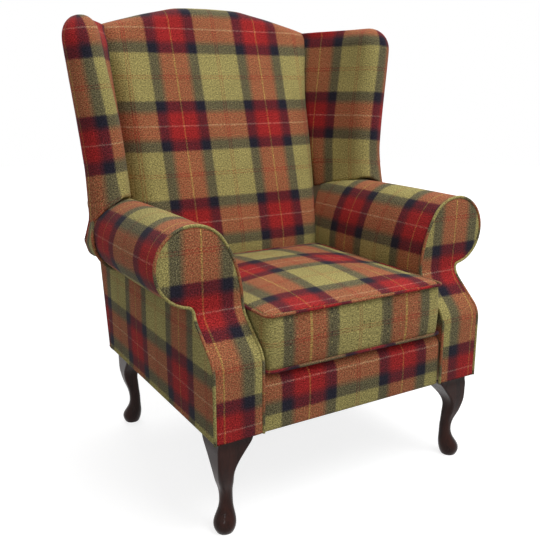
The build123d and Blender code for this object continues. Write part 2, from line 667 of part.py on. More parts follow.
def flare_section(foot, middle, hip, head_x):
    """Draw a front view of the foot of the outside wing: round the scroll, then up its hollow side."""
    bow = (hip[0] - FLARE_HOLLOW, (hip[1] + FLARE_Z) / 2)
    ThreePointArc(foot, middle, hip)
    ThreePointArc(hip, bow, (head_x, FLARE_Z))
    Polyline((head_x, FLARE_Z), (ARM_RAIL_OUTER_X, FLARE_Z), (ARM_RAIL_OUTER_X, foot[1]), foot)


with BuildPart() as outside_wing_right:
    with BuildSketch(Plane.XZ.offset(-at(ARM_ROLL_DEPTH))):
        with BuildLine():
            flare_section(
                on_scroll(FLARE_FOOT_ANGLE),
                on_scroll(FLARE_MIDDLE_ANGLE),
                on_scroll(0),
                SCROLL_X + SCROLL_RADIUS - FLARE_HEAD_INSET,
            )
        make_face()
    with BuildSketch(Plane.XZ.offset(-at(FLARE_REAR_DEPTH))):
        with BuildLine():
            rear_hip_z = (SCROLL_BOTTOM + SCROLL_Z) / 2 + NOTCH_RADIUS
            flare_section(
                (FLARE_REAR_FOOT_X, SCROLL_BOTTOM),
                (FLARE_REAR_X, (SCROLL_BOTTOM + rear_hip_z) / 2),
                (FLARE_REAR_X, rear_hip_z),
                FLARE_REAR_HEAD_X,
            )
        make_face()
    loft()
    extrude(
        raked_band(BIG, OUTSIDE_BACK_THICKNESS, SCROLL_BOTTOM, CREST_HEIGHT),
        amount=BIG,
        mode=Mode.INTERSECT,
    )
    add(wing_form.part, mode=Mode.SUBTRACT)
    # above the arm the foot starts behind the wing's front roll
    wing_seat = ARM_HEIGHT - WING_SEAT_DROP
    roll_room = slab(0, BIG, ARM_ROLL_DEPTH, WING_DEPTH, wing_seat, FLARE_Z)
    add(roll_room.part, mode=Mode.SUBTRACT)
    add(wing_skin.part)
    add(arm_right.part, mode=Mode.SUBTRACT)
    add(wing_board_right.part, mode=Mode.SUBTRACT)
    add(upright_right.part, mode=Mode.SUBTRACT)

with BuildPart() as wing_right:
    add(wing_form.part)
    extrude(
        raked_band(PAD_BACK, 0, 0, CREST_HEIGHT),
        amount=UPRIGHT_INNER_X + UPRIGHT_WIDTH / 2,
        mode=Mode.SUBTRACT,
    )
    add(outside_wing_right.part, mode=Mode.SUBTRACT)
    add(arm_right.part, mode=Mode.SUBTRACT)
    add(wing_board_right.part, mode=Mode.SUBTRACT)
    add(upright_right.part, mode=Mode.SUBTRACT)

with BuildPart() as wing_piping_right:
    # a cord along the seam between the wing and its outside panel
    cord_plane = WING_PLANE.offset(WING_THICKNESS / 2 - WELT_RADIUS / 2)
    with BuildLine(cord_plane) as cord:
        FilletPolyline(
            (WING_SEAM_HIGH, WING_RISE - WING_ROUND),
            (WING_SEAM_HIGH, WING_SEAM_HIGH_RISE),
            (WING_SEAM_LOW, WING_SEAM_LOW_RISE),
            (WING_SEAM_LOW, ARM_HEIGHT - WING_BASE_Z),
            radius=WING_CORNER_RADIUS,
        )
    with BuildSketch(Plane(origin=cord.line @ 0, z_dir=cord.line % 0)):
        Circle(WELT_RADIUS)
    sweep()
    add(wing_form.part, mode=Mode.SUBTRACT)
    add(outside_wing_right.part, mode=Mode.SUBTRACT)

# ---------------------------------------------------------------- back upholstery
with BuildPart() as back_cavity:
    # room for the back frame and its webbing, open to the rear
    extrude(raked_band(PAD_BACK, 0, 0, CREST_HEIGHT), amount=BIG, both=True)
    extrude(crest_outline(CREST_RAIL_COVER, BIG / 2), amount=BIG, both=True, mode=Mode.INTERSECT)

with BuildPart() as inside_back:
    crest_front = at(INSIDE_BACK_DEPTH) + (CREST_HEIGHT - INSIDE_BACK_BEND_Z) * INNER_RAKE
    crest_rear = rear_y(CREST_HEIGHT, OUTSIDE_BACK_THICKNESS)
    with BuildSketch(Plane.YZ):
        with BuildLine():
            Polyline(
                (at(INSIDE_BACK_DEPTH), STRAP_TOP),
                (at(INSIDE_BACK_DEPTH), INSIDE_BACK_BEND_Z),
                (crest_front, CREST_HEIGHT),
                (crest_rear, CREST_HEIGHT),
                (rear_y(STRAP_TOP, OUTSIDE_BACK_THICKNESS), STRAP_TOP),
                close=True,
            )
        make_face()
    extrude(amount=INSIDE_BACK_HALF_WIDTH, both=True)
    extrude(crest_outline(), amount=BIG, both=True, mode=Mode.INTERSECT)
    lowest_crest = CREST_HEIGHT - CREST_RAIL_COVER - INSIDE_BACK_HALF_WIDTH * CREST_FALL
    top_edges = inside_back.edges().filter_by(
        lambda edge: edge.center().Z > lowest_crest
        and abs(edge.center().X) < INSIDE_BACK_HALF_WIDTH - 1
        and edge.center().Y < (crest_front + crest_rear) / 2
    )
    fillet(top_edges, CREST_FRONT_ROUND)
    add(back_cavity.part, mode=Mode.SUBTRACT)
    for neighbour in (arm_right, arm_rail_right, wing_form, wing_board_right):
        add(neighbour.part, mode=Mode.SUBTRACT)
        add(mirrored(neighbour).part, mode=Mode.SUBTRACT)

with BuildPart() as outside_back:
    extrude(raked_band(OUTSIDE_BACK_THICKNESS, 0, LEG_HEIGHT, CREST_HEIGHT), amount=BIG, both=True)
    with BuildSketch(Plane.XZ) as back_outline:
        with BuildLine():
            sides = Polyline(
                (OUTSIDE_ARM_REAR_X, 0),
                (OUTSIDE_ARM_REAR_X, SCROLL_BOTTOM - NOTCH_RADIUS),
                (BACK_HIP_HALF, ARM_HEIGHT - BACK_HIP_DROP),
                (BACK_SHOULDER_HALF, ARM_HEIGHT + BACK_SHOULDER_RISE),
                (BACK_HEAD_HALF, ARM_HEIGHT + BACK_HEAD_RISE),
                (BACK_HEAD_HALF, CREST_HEIGHT),
            )
            mirror(sides, about=Plane.YZ)
            Line((-BACK_HEAD_HALF, CREST_HEIGHT), (BACK_HEAD_HALF, CREST_HEIGHT))
            Line((-OUTSIDE_ARM_REAR_X, 0), (OUTSIDE_ARM_REAR_X, 0))
        make_face()
        bends = back_outline.vertices().filter_by(lambda v: 0 < v.Y < CREST_HEIGHT)
        fillet(bends, BACK_OUTLINE_ROUND)
    extrude(amount=BIG, both=True, mode=Mode.INTERSECT)
    extrude(crest_outline(CREST_REAR_ROUND, BACK_HIP_HALF + 1), amount=BIG, both=True, mode=Mode.INTERSECT)

# ---------------------------------------------------------------- webbing and seat deck
with BuildPart() as seat_webbing_long:
    with BuildSketch(Plane.XY.offset(RAIL_TOP)):
        with Locations((0, at((FACING_THICKNESS + FRAME_REAR_DEPTH) / 2))):
            with GridLocations(SEAT_STRAP_PITCH_X, 0, SEAT_STRAPS_LONG, 1):
                Rectangle(WEBBING_WIDTH, FRAME_REAR_DEPTH - FACING_THICKNESS - 2 * WEBBING_THICKNESS)
    extrude(amount=WEBBING_THICKNESS)

with BuildPart() as seat_webbing_cross:
    with BuildSketch(Plane.XY.offset(RAIL_TOP + WEBBING_THICKNESS)):
        with Locations((0, at((POST_BACK + INSIDE_BACK_DEPTH) / 2))):
            with GridLocations(0, SEAT_STRAP_PITCH_Y, 1, SEAT_STRAPS_CROSS):
                Rectangle(2 * (SIDE_RAIL_OUTER_X - DUST_COVER_INSET), WEBBING_WIDTH)
    extrude(amount=WEBBING_THICKNESS)
    add(arm_post_right.part, mode=Mode.SUBTRACT)
    add(mirrored(arm_post_right).part, mode=Mode.SUBTRACT)

with BuildPart() as back_webbing:
    last_strap_z = CREST_RAIL_Z - BACK_STRAP_RAIL_GAP - WEBBING_WIDTH
    strap_pitch = (last_strap_z - BACK_STRAP_FIRST_Z) / (BACK_STRAPS - 1)
    for strap in range(BACK_STRAPS):
        strap_z = BACK_STRAP_FIRST_Z + strap * strap_pitch
        band = raked_band(PAD_BACK, UPRIGHT_FRONT, strap_z, strap_z + WEBBING_WIDTH)
        extrude(band, amount=UPRIGHT_INNER_X + BACK_STRAP_LANDING, both=True)
    add(wing_board_right.part, mode=Mode.SUBTRACT)
    add(mirrored(wing_board_right).part, mode=Mode.SUBTRACT)

with BuildPart() as seat_deck:
    deck_rear = INSIDE_BACK_DEPTH - DECK_REAR_GAP
    extrude(plate(-ARM_INNER_X, ARM_INNER_X, DECK_FRONT_DEPTH, deck_rear, STRAP_TOP), amount=DECK_THICKNESS)

with BuildPart() as front_rail_cover:
    cover_top = DECK_TOP - COVER_TOP_DROP
    with BuildSketch(Plane.YZ.offset(-ARM_INNER_X)) as cover_side:
        with BuildLine():
            Polyline(
                (at(COVER_FRONT_DEPTH), LEG_HEIGHT),
                (at(COVER_FRONT_DEPTH), cover_top),
                (at(DECK_FRONT_DEPTH), cover_top),
                (at(DECK_FRONT_DEPTH), STRAP_TOP - WEBBING_THICKNESS),
                (at(FACING_THICKNESS), STRAP_TOP - WEBBING_THICKNESS),
                (at(FACING_THICKNESS), LEG_HEIGHT),
                close=True,
            )
        make_face()
        fillet(cover_side.vertices().sort_by(Axis.Y)[-2:].sort_by(Axis.X)[0], COVER_ROUND)
    extrude(amount=SEAT_WIDTH)

with BuildPart() as dust_cover:
    half = SIDE_RAIL_OUTER_X - DUST_COVER_INSET
    front = COVER_FRONT_DEPTH + FACING_THICKNESS
    rear = FRAME_REAR_DEPTH - DUST_COVER_INSET
    with BuildSketch(Plane.XY.offset(LEG_HEIGHT - DUST_COVER_THICKNESS)):
        with Locations((0, at((front + rear) / 2))):
            Rectangle(2 * half, rear - front)
        for foot_x, foot_depth, outward in (
            (FRONT_FOOT_X, FRONT_FOOT_DEPTH, -1),
            (REAR_FOOT_X, REAR_FOOT_DEPTH, 1),
        ):
            knee_x = foot_x - KNEE_SET_BACK * DIAGONAL
            knee_y = at(foot_depth) - outward * KNEE_SET_BACK * DIAGONAL
            with Locations((knee_x, knee_y), (-knee_x, knee_y)):
                Rectangle(KNEE_SIDE + 2 * DUST_COVER_GAP, KNEE_SIDE + 2 * DUST_COVER_GAP, mode=Mode.SUBTRACT)
    extrude(amount=DUST_COVER_THICKNESS)


# ---------------------------------------------------------------- loose box cushion
def cushion_form(inset=0.0):
    """The cushion's body: sides drawn in at the pipings and a crown on top, shrunk by an inset."""
    middle = Plane.XY.offset(CUSHION_Z)
    width = CUSHION_WIDTH - 2 * inset
    depth = CUSHION_DEPTH - 2 * inset
    low = inset
    edge = CUSHION_EDGE - inset
    centre = (0, at(CUSHION_DEPTH / 2))
    with BuildPart() as form:
        for share, draw_in in ((0.0, 1.0), (0.25, 0.25), (0.5, 0.0), (0.75, 0.25), (1.0, 1.0)):
            with BuildSketch(middle.offset(low + (edge - low) * share)):
                with Locations(centre):
                    RectangleRounded(
                        width - 2 * CUSHION_DRAW_IN * draw_in,
                        depth - 2 * CUSHION_DRAW_IN * draw_in,
                        CUSHION_CORNER - inset,
                    )
        loft()
        for share, rise in ((0.0, 0.0), (0.18, 0.45), (0.42, 0.8), (0.68, 1.0)):
            with BuildSketch(middle.offset(edge + CUSHION_CROWN * rise)):
                with Locations(centre):
                    RectangleRounded(
                        (width - 2 * CUSHION_DRAW_IN) * (1 - share),
                        (depth - 2 * CUSHION_DRAW_IN) * (1 - share),
                        CUSHION_CORNER - inset + share * (1 - share) * CUSHION_WIDTH / 3,
                    )
        loft()
    return form


def cushion_welt(height):
    """A piping cord round the cushion at a height above its underside."""
    reach = 2 * (CUSHION_WELT_OUT - CUSHION_WELT_RADIUS)
    with BuildSketch(Plane.XY.offset(CUSHION_Z + height)) as plan:
        with Locations((0, at(CUSHION_DEPTH / 2))):
            RectangleRounded(CUSHION_WIDTH + reach, CUSHION_DEPTH + reach, CUSHION_CORNER)
    path = plan.sketch.face().outer_wire()
    with BuildPart() as welt:
        with BuildSketch(Plane(origin=path @ 0, z_dir=path % 0)):
            Circle(CUSHION_WELT_RADIUS)
        sweep(path=path)
        add(cushion_outer.part, mode=Mode.SUBTRACT)
    return welt


cushion_outer = cushion_form()
cushion_inner = cushion_form(CUSHION_COVER)

with BuildPart() as cushion_cover:
    add(cushion_outer.part)
    add(cushion_inner.part, mode=Mode.SUBTRACT)

cushion_piping_top = cushion_welt(CUSHION_EDGE - CUSHION_WELT_IN)
cushion_piping_bottom = cushion_welt(CUSHION_WELT_IN)

with BuildPart() as cushion_zip:
    zip_y = at(CUSHION_DEPTH) + ZIP_PROUD
    with BuildSketch(Plane.XZ.offset(-zip_y)):
        with Locations((0, CUSHION_Z + CUSHION_EDGE / 2)):
            Rectangle(ZIP_LENGTH, ZIP_WIDTH)
    extrude(amount=2 * ZIP_PROUD)
    add(cushion_outer.part, mode=Mode.SUBTRACT)

# ---------------------------------------------------------------- written pieces
for piece, label in (
    (front_seat_rail, "front_seat_rail"),
    (back_seat_rail, "back_seat_rail"),
    (crest_rail, "crest_rail"),
    (lower_back_rail, "lower_back_rail"),
    (inside_back, "inside_back"),
    (outside_back, "outside_back"),
    (seat_webbing_long, "seat_webbing_long"),
    (seat_webbing_cross, "seat_webbing_cross"),
    (back_webbing, "back_webbing"),
    (seat_deck, "seat_deck"),
    (front_rail_cover, "front_rail_cover"),
    (dust_cover, "dust_cover"),
    (cushion_cover, "cushion_cover"),
    (cushion_inner, "cushion_filling"),
    (cushion_piping_top, "cushion_piping_top"),
    (cushion_piping_bottom, "cushion_piping_bottom"),
    (cushion_zip, "cushion_zip"),
):
    save(piece, label)

for right, label in (
    (side_rail_right, "side_rail"),
    (upright_right, "upright"),
    (arm_post_right, "arm_post"),
    (arm_rail_right, "arm_rail"),
    (wing_board_right, "wing_board"),
    (arm_right, "arm"),
    (facing_right, "facing"),
    (facing_piping_right, "facing_piping"),
    (outside_arm_right, "outside_arm"),
    (under_arm_piping_right, "under_arm_piping"),
    (wing_right, "wing"),
    (outside_wing_right, "outside_wing"),
    (wing_piping_right, "wing_piping"),
):
    left = mirrored(right)
    save(right, f"{label}_right")
    save(left, f"{label}_left")
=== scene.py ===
"""Looks of a fireside chair: tartan upholstery with piped seams, stained cabriole legs and the hidden frame.

Shapes are worked out in millimetres as whole numpy arrays and become metres when a mesh is made.
Depths run backwards from the lower front of the arm facings, heights up from the floor.
Cloth coordinates run in millimetres too: u across the warp stripes, v across the weft rows, and
both are zero in the middle of an olive stripe.
"""

from __future__ import annotations

import logging
import math
from dataclasses import dataclass
from enum import Enum

import bmesh
import bpy
import numpy as np
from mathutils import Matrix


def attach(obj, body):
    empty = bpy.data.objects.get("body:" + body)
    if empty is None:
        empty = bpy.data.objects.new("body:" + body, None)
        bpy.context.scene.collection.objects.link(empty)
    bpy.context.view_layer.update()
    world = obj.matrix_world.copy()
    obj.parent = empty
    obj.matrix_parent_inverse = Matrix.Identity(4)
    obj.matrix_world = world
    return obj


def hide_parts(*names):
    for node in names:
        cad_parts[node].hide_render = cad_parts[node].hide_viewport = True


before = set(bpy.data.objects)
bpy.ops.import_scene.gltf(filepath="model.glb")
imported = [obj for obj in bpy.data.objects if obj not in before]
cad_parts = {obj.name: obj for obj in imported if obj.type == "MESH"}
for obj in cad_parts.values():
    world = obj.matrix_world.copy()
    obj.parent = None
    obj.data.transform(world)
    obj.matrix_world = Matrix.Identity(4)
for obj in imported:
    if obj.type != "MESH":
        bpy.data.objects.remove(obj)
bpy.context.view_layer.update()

log = logging.getLogger("fireside_chair")
MM = 0.001
CLOTH_MAP = "cloth"
CORD_SIDES = 10
Pair = tuple[float, float]
Colour = tuple[float, float, float]
Stop = tuple[float, Colour]


class Side(Enum):
    """The two hands of the chair, by the sign of x."""

    LEFT = -1
    RIGHT = 1

    @property
    def word(self) -> str:
        """The side's word in node names."""
        return self.name.lower()


# ------------------------------------------------------------------ curves
def arc(centre: tuple[float, float], radius: float, start: float, end: float) -> np.ndarray:
    """Points of a circular arc, centre plus radius times the cosine and sine of evenly spaced angles.

    Args:
        centre: middle of the circle.
        radius: its radius.
        start: first angle in radians.
        end: last angle in radians.

    Returns:
        An array of two columns.
    """
    turn = np.linspace(start, end, 90)
    return np.stack([centre[0] + radius * np.cos(turn), centre[1] + radius * np.sin(turn)], 1)


def run_lengths(path: np.ndarray) -> np.ndarray:
    """Distance along a path at each of its points: the running sum of the steps between them."""
    steps = np.linalg.norm(np.diff(path, axis=0), axis=1)
    return np.concatenate([[0.0], np.cumsum(steps)])


def evenly(path: np.ndarray, spacing: float) -> np.ndarray:
    """A path drawn again with points at even distances along it.

    Args:
        path: the points, one a row.
        spacing: the wished distance between points.

    Returns:
        The new points, from the same start to the same end.
    """
    run = run_lengths(path)
    keep = np.concatenate([[True], np.diff(run) > 1e-9])
    run, path = run[keep], path[keep]
    places = np.linspace(0.0, run[-1], max(2, int(round(run[-1] / spacing)) + 1))
    return np.stack([np.interp(places, run, path[:, k]) for k in range(path.shape[1])], 1)


def softened(x: np.ndarray, xs: np.ndarray, ys: np.ndarray, reach: float) -> np.ndarray:
    """Straight runs between given points, averaged over a reach on either side so that the bends are round.

    Args:
        x: places to evaluate.
        xs: given places, rising.
        ys: given values.
        reach: half width of the bell-shaped average.

    Returns:
        The softened values, shaped as x.
    """
    offsets = np.linspace(-1.0, 1.0, 15)
    weights = np.cos(offsets * math.pi / 2) ** 2
    weights = weights / weights.sum()
    return sum(w * np.interp(x + o * reach, xs, ys) for w, o in zip(weights, offsets))


def eased(x: np.ndarray) -> np.ndarray:
    """A smooth step from 0 to 1: three times the square less twice the cube of x held between 0 and 1."""
    x = np.clip(x, 0.0, 1.0)
    return x * x * (3.0 - 2.0 * x)


# ------------------------------------------------------------------ meshes
def mesh_object(name: str, points: np.ndarray, faces: list, cloth: np.ndarray) -> bpy.types.Object:
    """Put points and faces into a smooth mesh and link it.

    Args:
        name: the piece's name.
        points: one point a row, in millimetres.
        faces: lists of point numbers.
        cloth: cloth coordinates of each face corner in millimetres.

    Returns:
        The new object, at the origin.
    """
    mesh = bpy.data.meshes.new(name)
    mesh.from_pydata((np.asarray(points) * MM).tolist(), [], faces)
    mesh.polygons.foreach_set("use_smooth", np.ones(len(mesh.polygons), bool))
    mesh.update()
    piece = bpy.data.objects.new(name, mesh)
    bpy.context.scene.collection.objects.link(piece)
    lay_cloth(piece, cloth)
    return piece


@dataclass
class Grid:
    """A surface as rows and columns of points with their cloth coordinates.

    A ring's last column meets its first, and its cloth array then has one column more.
    """

    points: np.ndarray
    cloth: np.ndarray
    ring: bool = False
    capped: bool = False
    cells: np.ndarray | None = None

    def faces(self, first: int) -> tuple[np.ndarray, np.ndarray]:
        """Corner numbers of each cell, and the cloth coordinates there.

        Args:
            first: number of the grid's first point in the mesh.

        Returns:
            Faces of four corners, and their cloth coordinates.
        """
        rows, columns = self.points.shape[:2]
        wide = columns if self.ring else columns - 1
        i, j = np.meshgrid(np.arange(rows - 1), np.arange(wide), indexing="ij")
        if self.cells is not None:
            i, j = i[self.cells], j[self.cells]
        i, j = i.ravel(), j.ravel()
        near = (j + 1) % columns
        row, after, cloth = i * columns, (i + 1) * columns, self.cloth
        quads = first + np.stack([row + j, row + near, after + near, after + j], 1)
        corners = np.stack([cloth[i, j], cloth[i, j + 1], cloth[i + 1, j + 1], cloth[i + 1, j]], 1)
        return quads, corners


def grid_object(name: str, grids: list[Grid], inside: np.ndarray | None = None) -> bpy.types.Object:
    """One mesh of several grids, each turned outwards as a whole.

    A face's normal is the cross product of two of its edges or diagonals. A grid is turned over where
    its normals point, in sum, towards the inside.

    Args:
        name: the piece's name.
        grids: the grids.
        inside: a point behind the surface, or None for closed shells, which use their own middle.

    Returns:
        The new object.
    """
    points, faces, corners, first = [], [], [], 0
    for grid in grids:
        flat = grid.points.reshape(-1, 3)
        quads, cloth = grid.faces(first)
        q = flat[quads - first]
        normal = np.cross(q[:, 2] - q[:, 0], q[:, 3] - q[:, 1])
        middle = q.mean(1)
        if inside is None:
            rows = np.repeat(grid.points.mean(1), grid.points.shape[1], 0)[quads[:, 0] - first]
            away = middle - rows
        else:
            away = middle - np.asarray(inside)
        turned = float((normal * away).sum()) < 0
        if turned:
            quads, cloth = quads[:, ::-1], cloth[:, ::-1]
        faces += quads.tolist()
        corners.append(cloth.reshape(-1, 2))
        points.append(flat)
        first += len(flat)
        if grid.ring and grid.capped:
            count = grid.points.shape[1]
            # Known fault: the first cap has raised first by one, so the second rim is counted one point
            # too far, and two of its triangles run to the first cap's middle.
            for row, reverse in ((0, turned), (grid.points.shape[0] - 1, not turned)):
                rim = first - len(flat) + row * count + np.arange(count)
                points.append(grid.points[row].mean(0)[None])
                near, hub = np.roll(rim, -1), np.full(count, first)
                fan = np.stack([near, hub, rim] if reverse else [rim, hub, near], 1)
                faces += fan.tolist()
                corners.append(np.repeat(grid.cloth[row].mean(0)[None], 3 * count, 0))
                first += 1
    piece = mesh_object(name, np.vstack(points), faces, np.vstack(corners))
    weld(piece)
    return piece


def weld(piece: bpy.types.Object, distance: float = 1e-6) -> None:
    """Merge the points of a piece that lie on each other."""
    work = bmesh.new()
    work.from_mesh(piece.data)
    bmesh.ops.remove_doubles(work, verts=work.verts, dist=distance)
    bmesh.ops.dissolve_degenerate(work, edges=work.edges, dist=distance)
    work.to_mesh(piece.data)
    work.free()
    piece.data.polygons.foreach_set("use_smooth", np.ones(len(piece.data.polygons), bool))


def thickened(piece: bpy.types.Object, thickness: float) -> bpy.types.Object:
    """Give an open surface its thickness, inwards."""
    wall = piece.modifiers.new("thickness", "SOLIDIFY")
    wall.thickness = thickness * MM
    wall.offset = -1.0
    return piece


def tube(
    name: str,
    path: np.ndarray,
    radius: float,
    reference: tuple[float, float, float],
    start: float = 0.0,
    row: float = 0.0,
    closed: bool = False,
) -> bpy.types.Object:
    """A cord carried along a path.

    Each ring is the path's point plus the radius times the cosine and sine of the ring's angle along
    two directions square to the path.

    Args:
        name: the piece's name.
        path: the middle line in millimetres.
        radius: the cord's radius.
        reference: a direction never along the path.
        start: cloth coordinate u at the path's first point.
        row: cloth coordinate v of the cord.
        closed: whether the end meets the start.

    Returns:
        The new object.
    """
    if closed:
        path = np.vstack([path, path[:1]])
        tangent = np.roll(path[:-1], -1, 0) - np.roll(path[:-1], 1, 0)
        tangent = np.vstack([tangent, tangent[:1]])
    else:
        tangent = np.gradient(path, axis=0)
    tangent /= np.linalg.norm(tangent, axis=1, keepdims=True)
    one = np.cross(tangent, np.asarray(reference, float))
    one /= np.linalg.norm(one, axis=1, keepdims=True)
    two = np.cross(tangent, one)
    turn = np.linspace(0.0, 2 * math.pi, CORD_SIDES + 1)
    cosine, sine = np.cos(turn[:-1])[None, :, None], np.sin(turn[:-1])[None, :, None]
    ring = radius * (cosine * one[:, None] + sine * two[:, None])
    run = start + run_lengths(path)
    cloth = np.stack(np.broadcast_arrays(run[:, None], row + radius * turn[None, :]), 2)
    return grid_object(name, [Grid(path[:, None, :] + ring, cloth, ring=True, capped=not closed)])


def solid_copy(node: str, name: str) -> bpy.types.Object:
    """A merged copy of a CAD node's mesh, as a new object."""
    piece = bpy.data.objects.new(name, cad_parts[node].data.copy())
    bpy.context.scene.collection.objects.link(piece)
    weld(piece, 1e-5)
    return piece


def applied(piece: bpy.types.Object) -> bpy.types.Object:
    """Replace a piece's mesh by what its modifiers make of it, and remove them."""
    bpy.context.view_layer.update()
    shape = piece.evaluated_get(bpy.context.evaluated_depsgraph_get())
    made = bpy.data.meshes.new_from_object(shape)
    piece.modifiers.clear()
    piece.data = made
    made.name = piece.name
    made.polygons.foreach_set("use_smooth", np.ones(len(made.polygons), bool))
    return piece


def stuffed(piece: bpy.types.Object, voxel: float, passes: int) -> bpy.types.Object:
    """Draw a solid again as an even net of small squares and soften its corners.

    Args:
        piece: a closed solid.
        voxel: side of the squares in millimetres.
        passes: how often each point moves half way to its neighbours' mean.

    Returns:
        The same object with its new mesh.
    """
    net = piece.modifiers.new("net", "REMESH")
    net.mode = "VOXEL"
    net.voxel_size = voxel * MM
    soft = piece.modifiers.new("soft", "SMOOTH")
    soft.factor = 0.5
    soft.iterations = passes
    return applied(piece)


def corner_points(piece: bpy.types.Object) -> tuple[np.ndarray, np.ndarray, np.ndarray]:
    """Points in millimetres, the point number of each face corner, and the face number of each corner."""
    mesh = piece.data
    points = np.zeros(len(mesh.vertices) * 3)
    mesh.vertices.foreach_get("co", points)
    corner = np.zeros(len(mesh.loops), int)
    mesh.loops.foreach_get("vertex_index", corner)
    sides = np.zeros(len(mesh.polygons), int)
    mesh.polygons.foreach_get("loop_total", sides)
    return points.reshape(-1, 3) / MM, corner, np.repeat(np.arange(len(sides)), sides)


def lay_cloth(piece: bpy.types.Object, cloth: np.ndarray) -> None:
    """Store cloth coordinates, in millimetres, on a mesh's face corners."""
    layer = piece.data.uv_layers.get(CLOTH_MAP) or piece.data.uv_layers.new(name=CLOTH_MAP)
    layer.data.foreach_set("uv", (cloth * MM).astype(np.float32).ravel())


# ------------------------------------------------------------------ finishes
class Nodes:
    """Short hand for the nodes of one material or group."""

    def __init__(self, tree: bpy.types.NodeTree) -> None:
        """Work on this tree."""
        self.tree = tree

    def add(self, kind: str, **values: object) -> bpy.types.Node:
        """A new node.

        Args:
            kind: the node's type without its ShaderNode prefix.
            values: properties, and sockets by name with spaces written as underscores.

        Returns:
            The node.
        """
        node = self.tree.nodes.new(kind if kind.startswith("Node") else "ShaderNode" + kind)
        for key, value in values.items():
            if hasattr(node, key):
                setattr(node, key, value)
                continue
            self.put(node.inputs[int(key[1:]) if key[0] == "_" else key.replace("_", " ")], value)
        return node

    def put(self, socket: bpy.types.NodeSocket, value: object) -> None:
        """Link an output to a socket, or set its plain value."""
        if isinstance(value, bpy.types.NodeSocket):
            self.tree.links.new(value, socket)
        else:
            socket.default_value = value

    def calc(self, operation: str, *values: object) -> bpy.types.NodeSocket:
        """The result of a Math node on one to three values."""
        node = self.add("Math", operation=operation)
        for socket, value in zip(node.inputs, values):
            self.put(socket, value)
        return node.outputs[0]

    def spread(
        self, value: object, reads: Pair = (0.0, 1.0), gives: Pair = (0.0, 1.0)
    ) -> bpy.types.NodeSocket:
        """A value carried from one range to another and held at its ends, by a Map Range node."""
        (low, high), (least, most) = reads, gives
        node = self.add("MapRange", Value=value, From_Min=low, From_Max=high, To_Min=least, To_Max=most)
        return node.outputs[0]

    def blend(self, share: object, one: object, two: object) -> bpy.types.NodeSocket:
        """The colour that a Mix node gives."""
        node = self.add("Mix", data_type="RGBA", blend_type="MIX")
        for name, value in (("Factor_Float", share), ("A_Color", one), ("B_Color", two)):
            self.put(next(s for s in node.inputs if s.identifier == name), value)
        return next(s for s in node.outputs if s.identifier == "Result_Color")

    def ramp(self, value: object, stops: list[Stop]) -> bpy.types.NodeSocket:
        """Colours by a value, in straight runs from stop to stop."""
        node = self.add("ValToRGB")
        band = node.color_ramp
        band.interpolation = "LINEAR"
        while len(band.elements) < len(stops):
            band.elements.new(1.0)
        for element, (place, colour) in zip(band.elements, stops):
            element.position = place
            element.color = (*colour[:3], 1.0)
        self.put(node.inputs[0], value)
        return node.outputs[0]


def new_group(
    name: str, takes: dict[str, str], gives: dict[str, str]
) -> tuple[bpy.types.NodeTree, Nodes, bpy.types.Node, bpy.types.Node]:
    """An empty shader group with named sockets.

    Args:
        name: the group's name.
        takes: input names and socket types.
        gives: output names and socket types.

    Returns:
        The group, its node helper, its input node and its output node.
    """
    tree = bpy.data.node_groups.new(name, "ShaderNodeTree")
    for names, direction in ((takes, "INPUT"), (gives, "OUTPUT")):
        for socket, kind in names.items():
            tree.interface.new_socket(socket, in_out=direction, socket_type="NodeSocket" + kind)
    nodes = Nodes(tree)
    return tree, nodes, nodes.add("NodeGroupInput"), nodes.add("NodeGroupOutput")


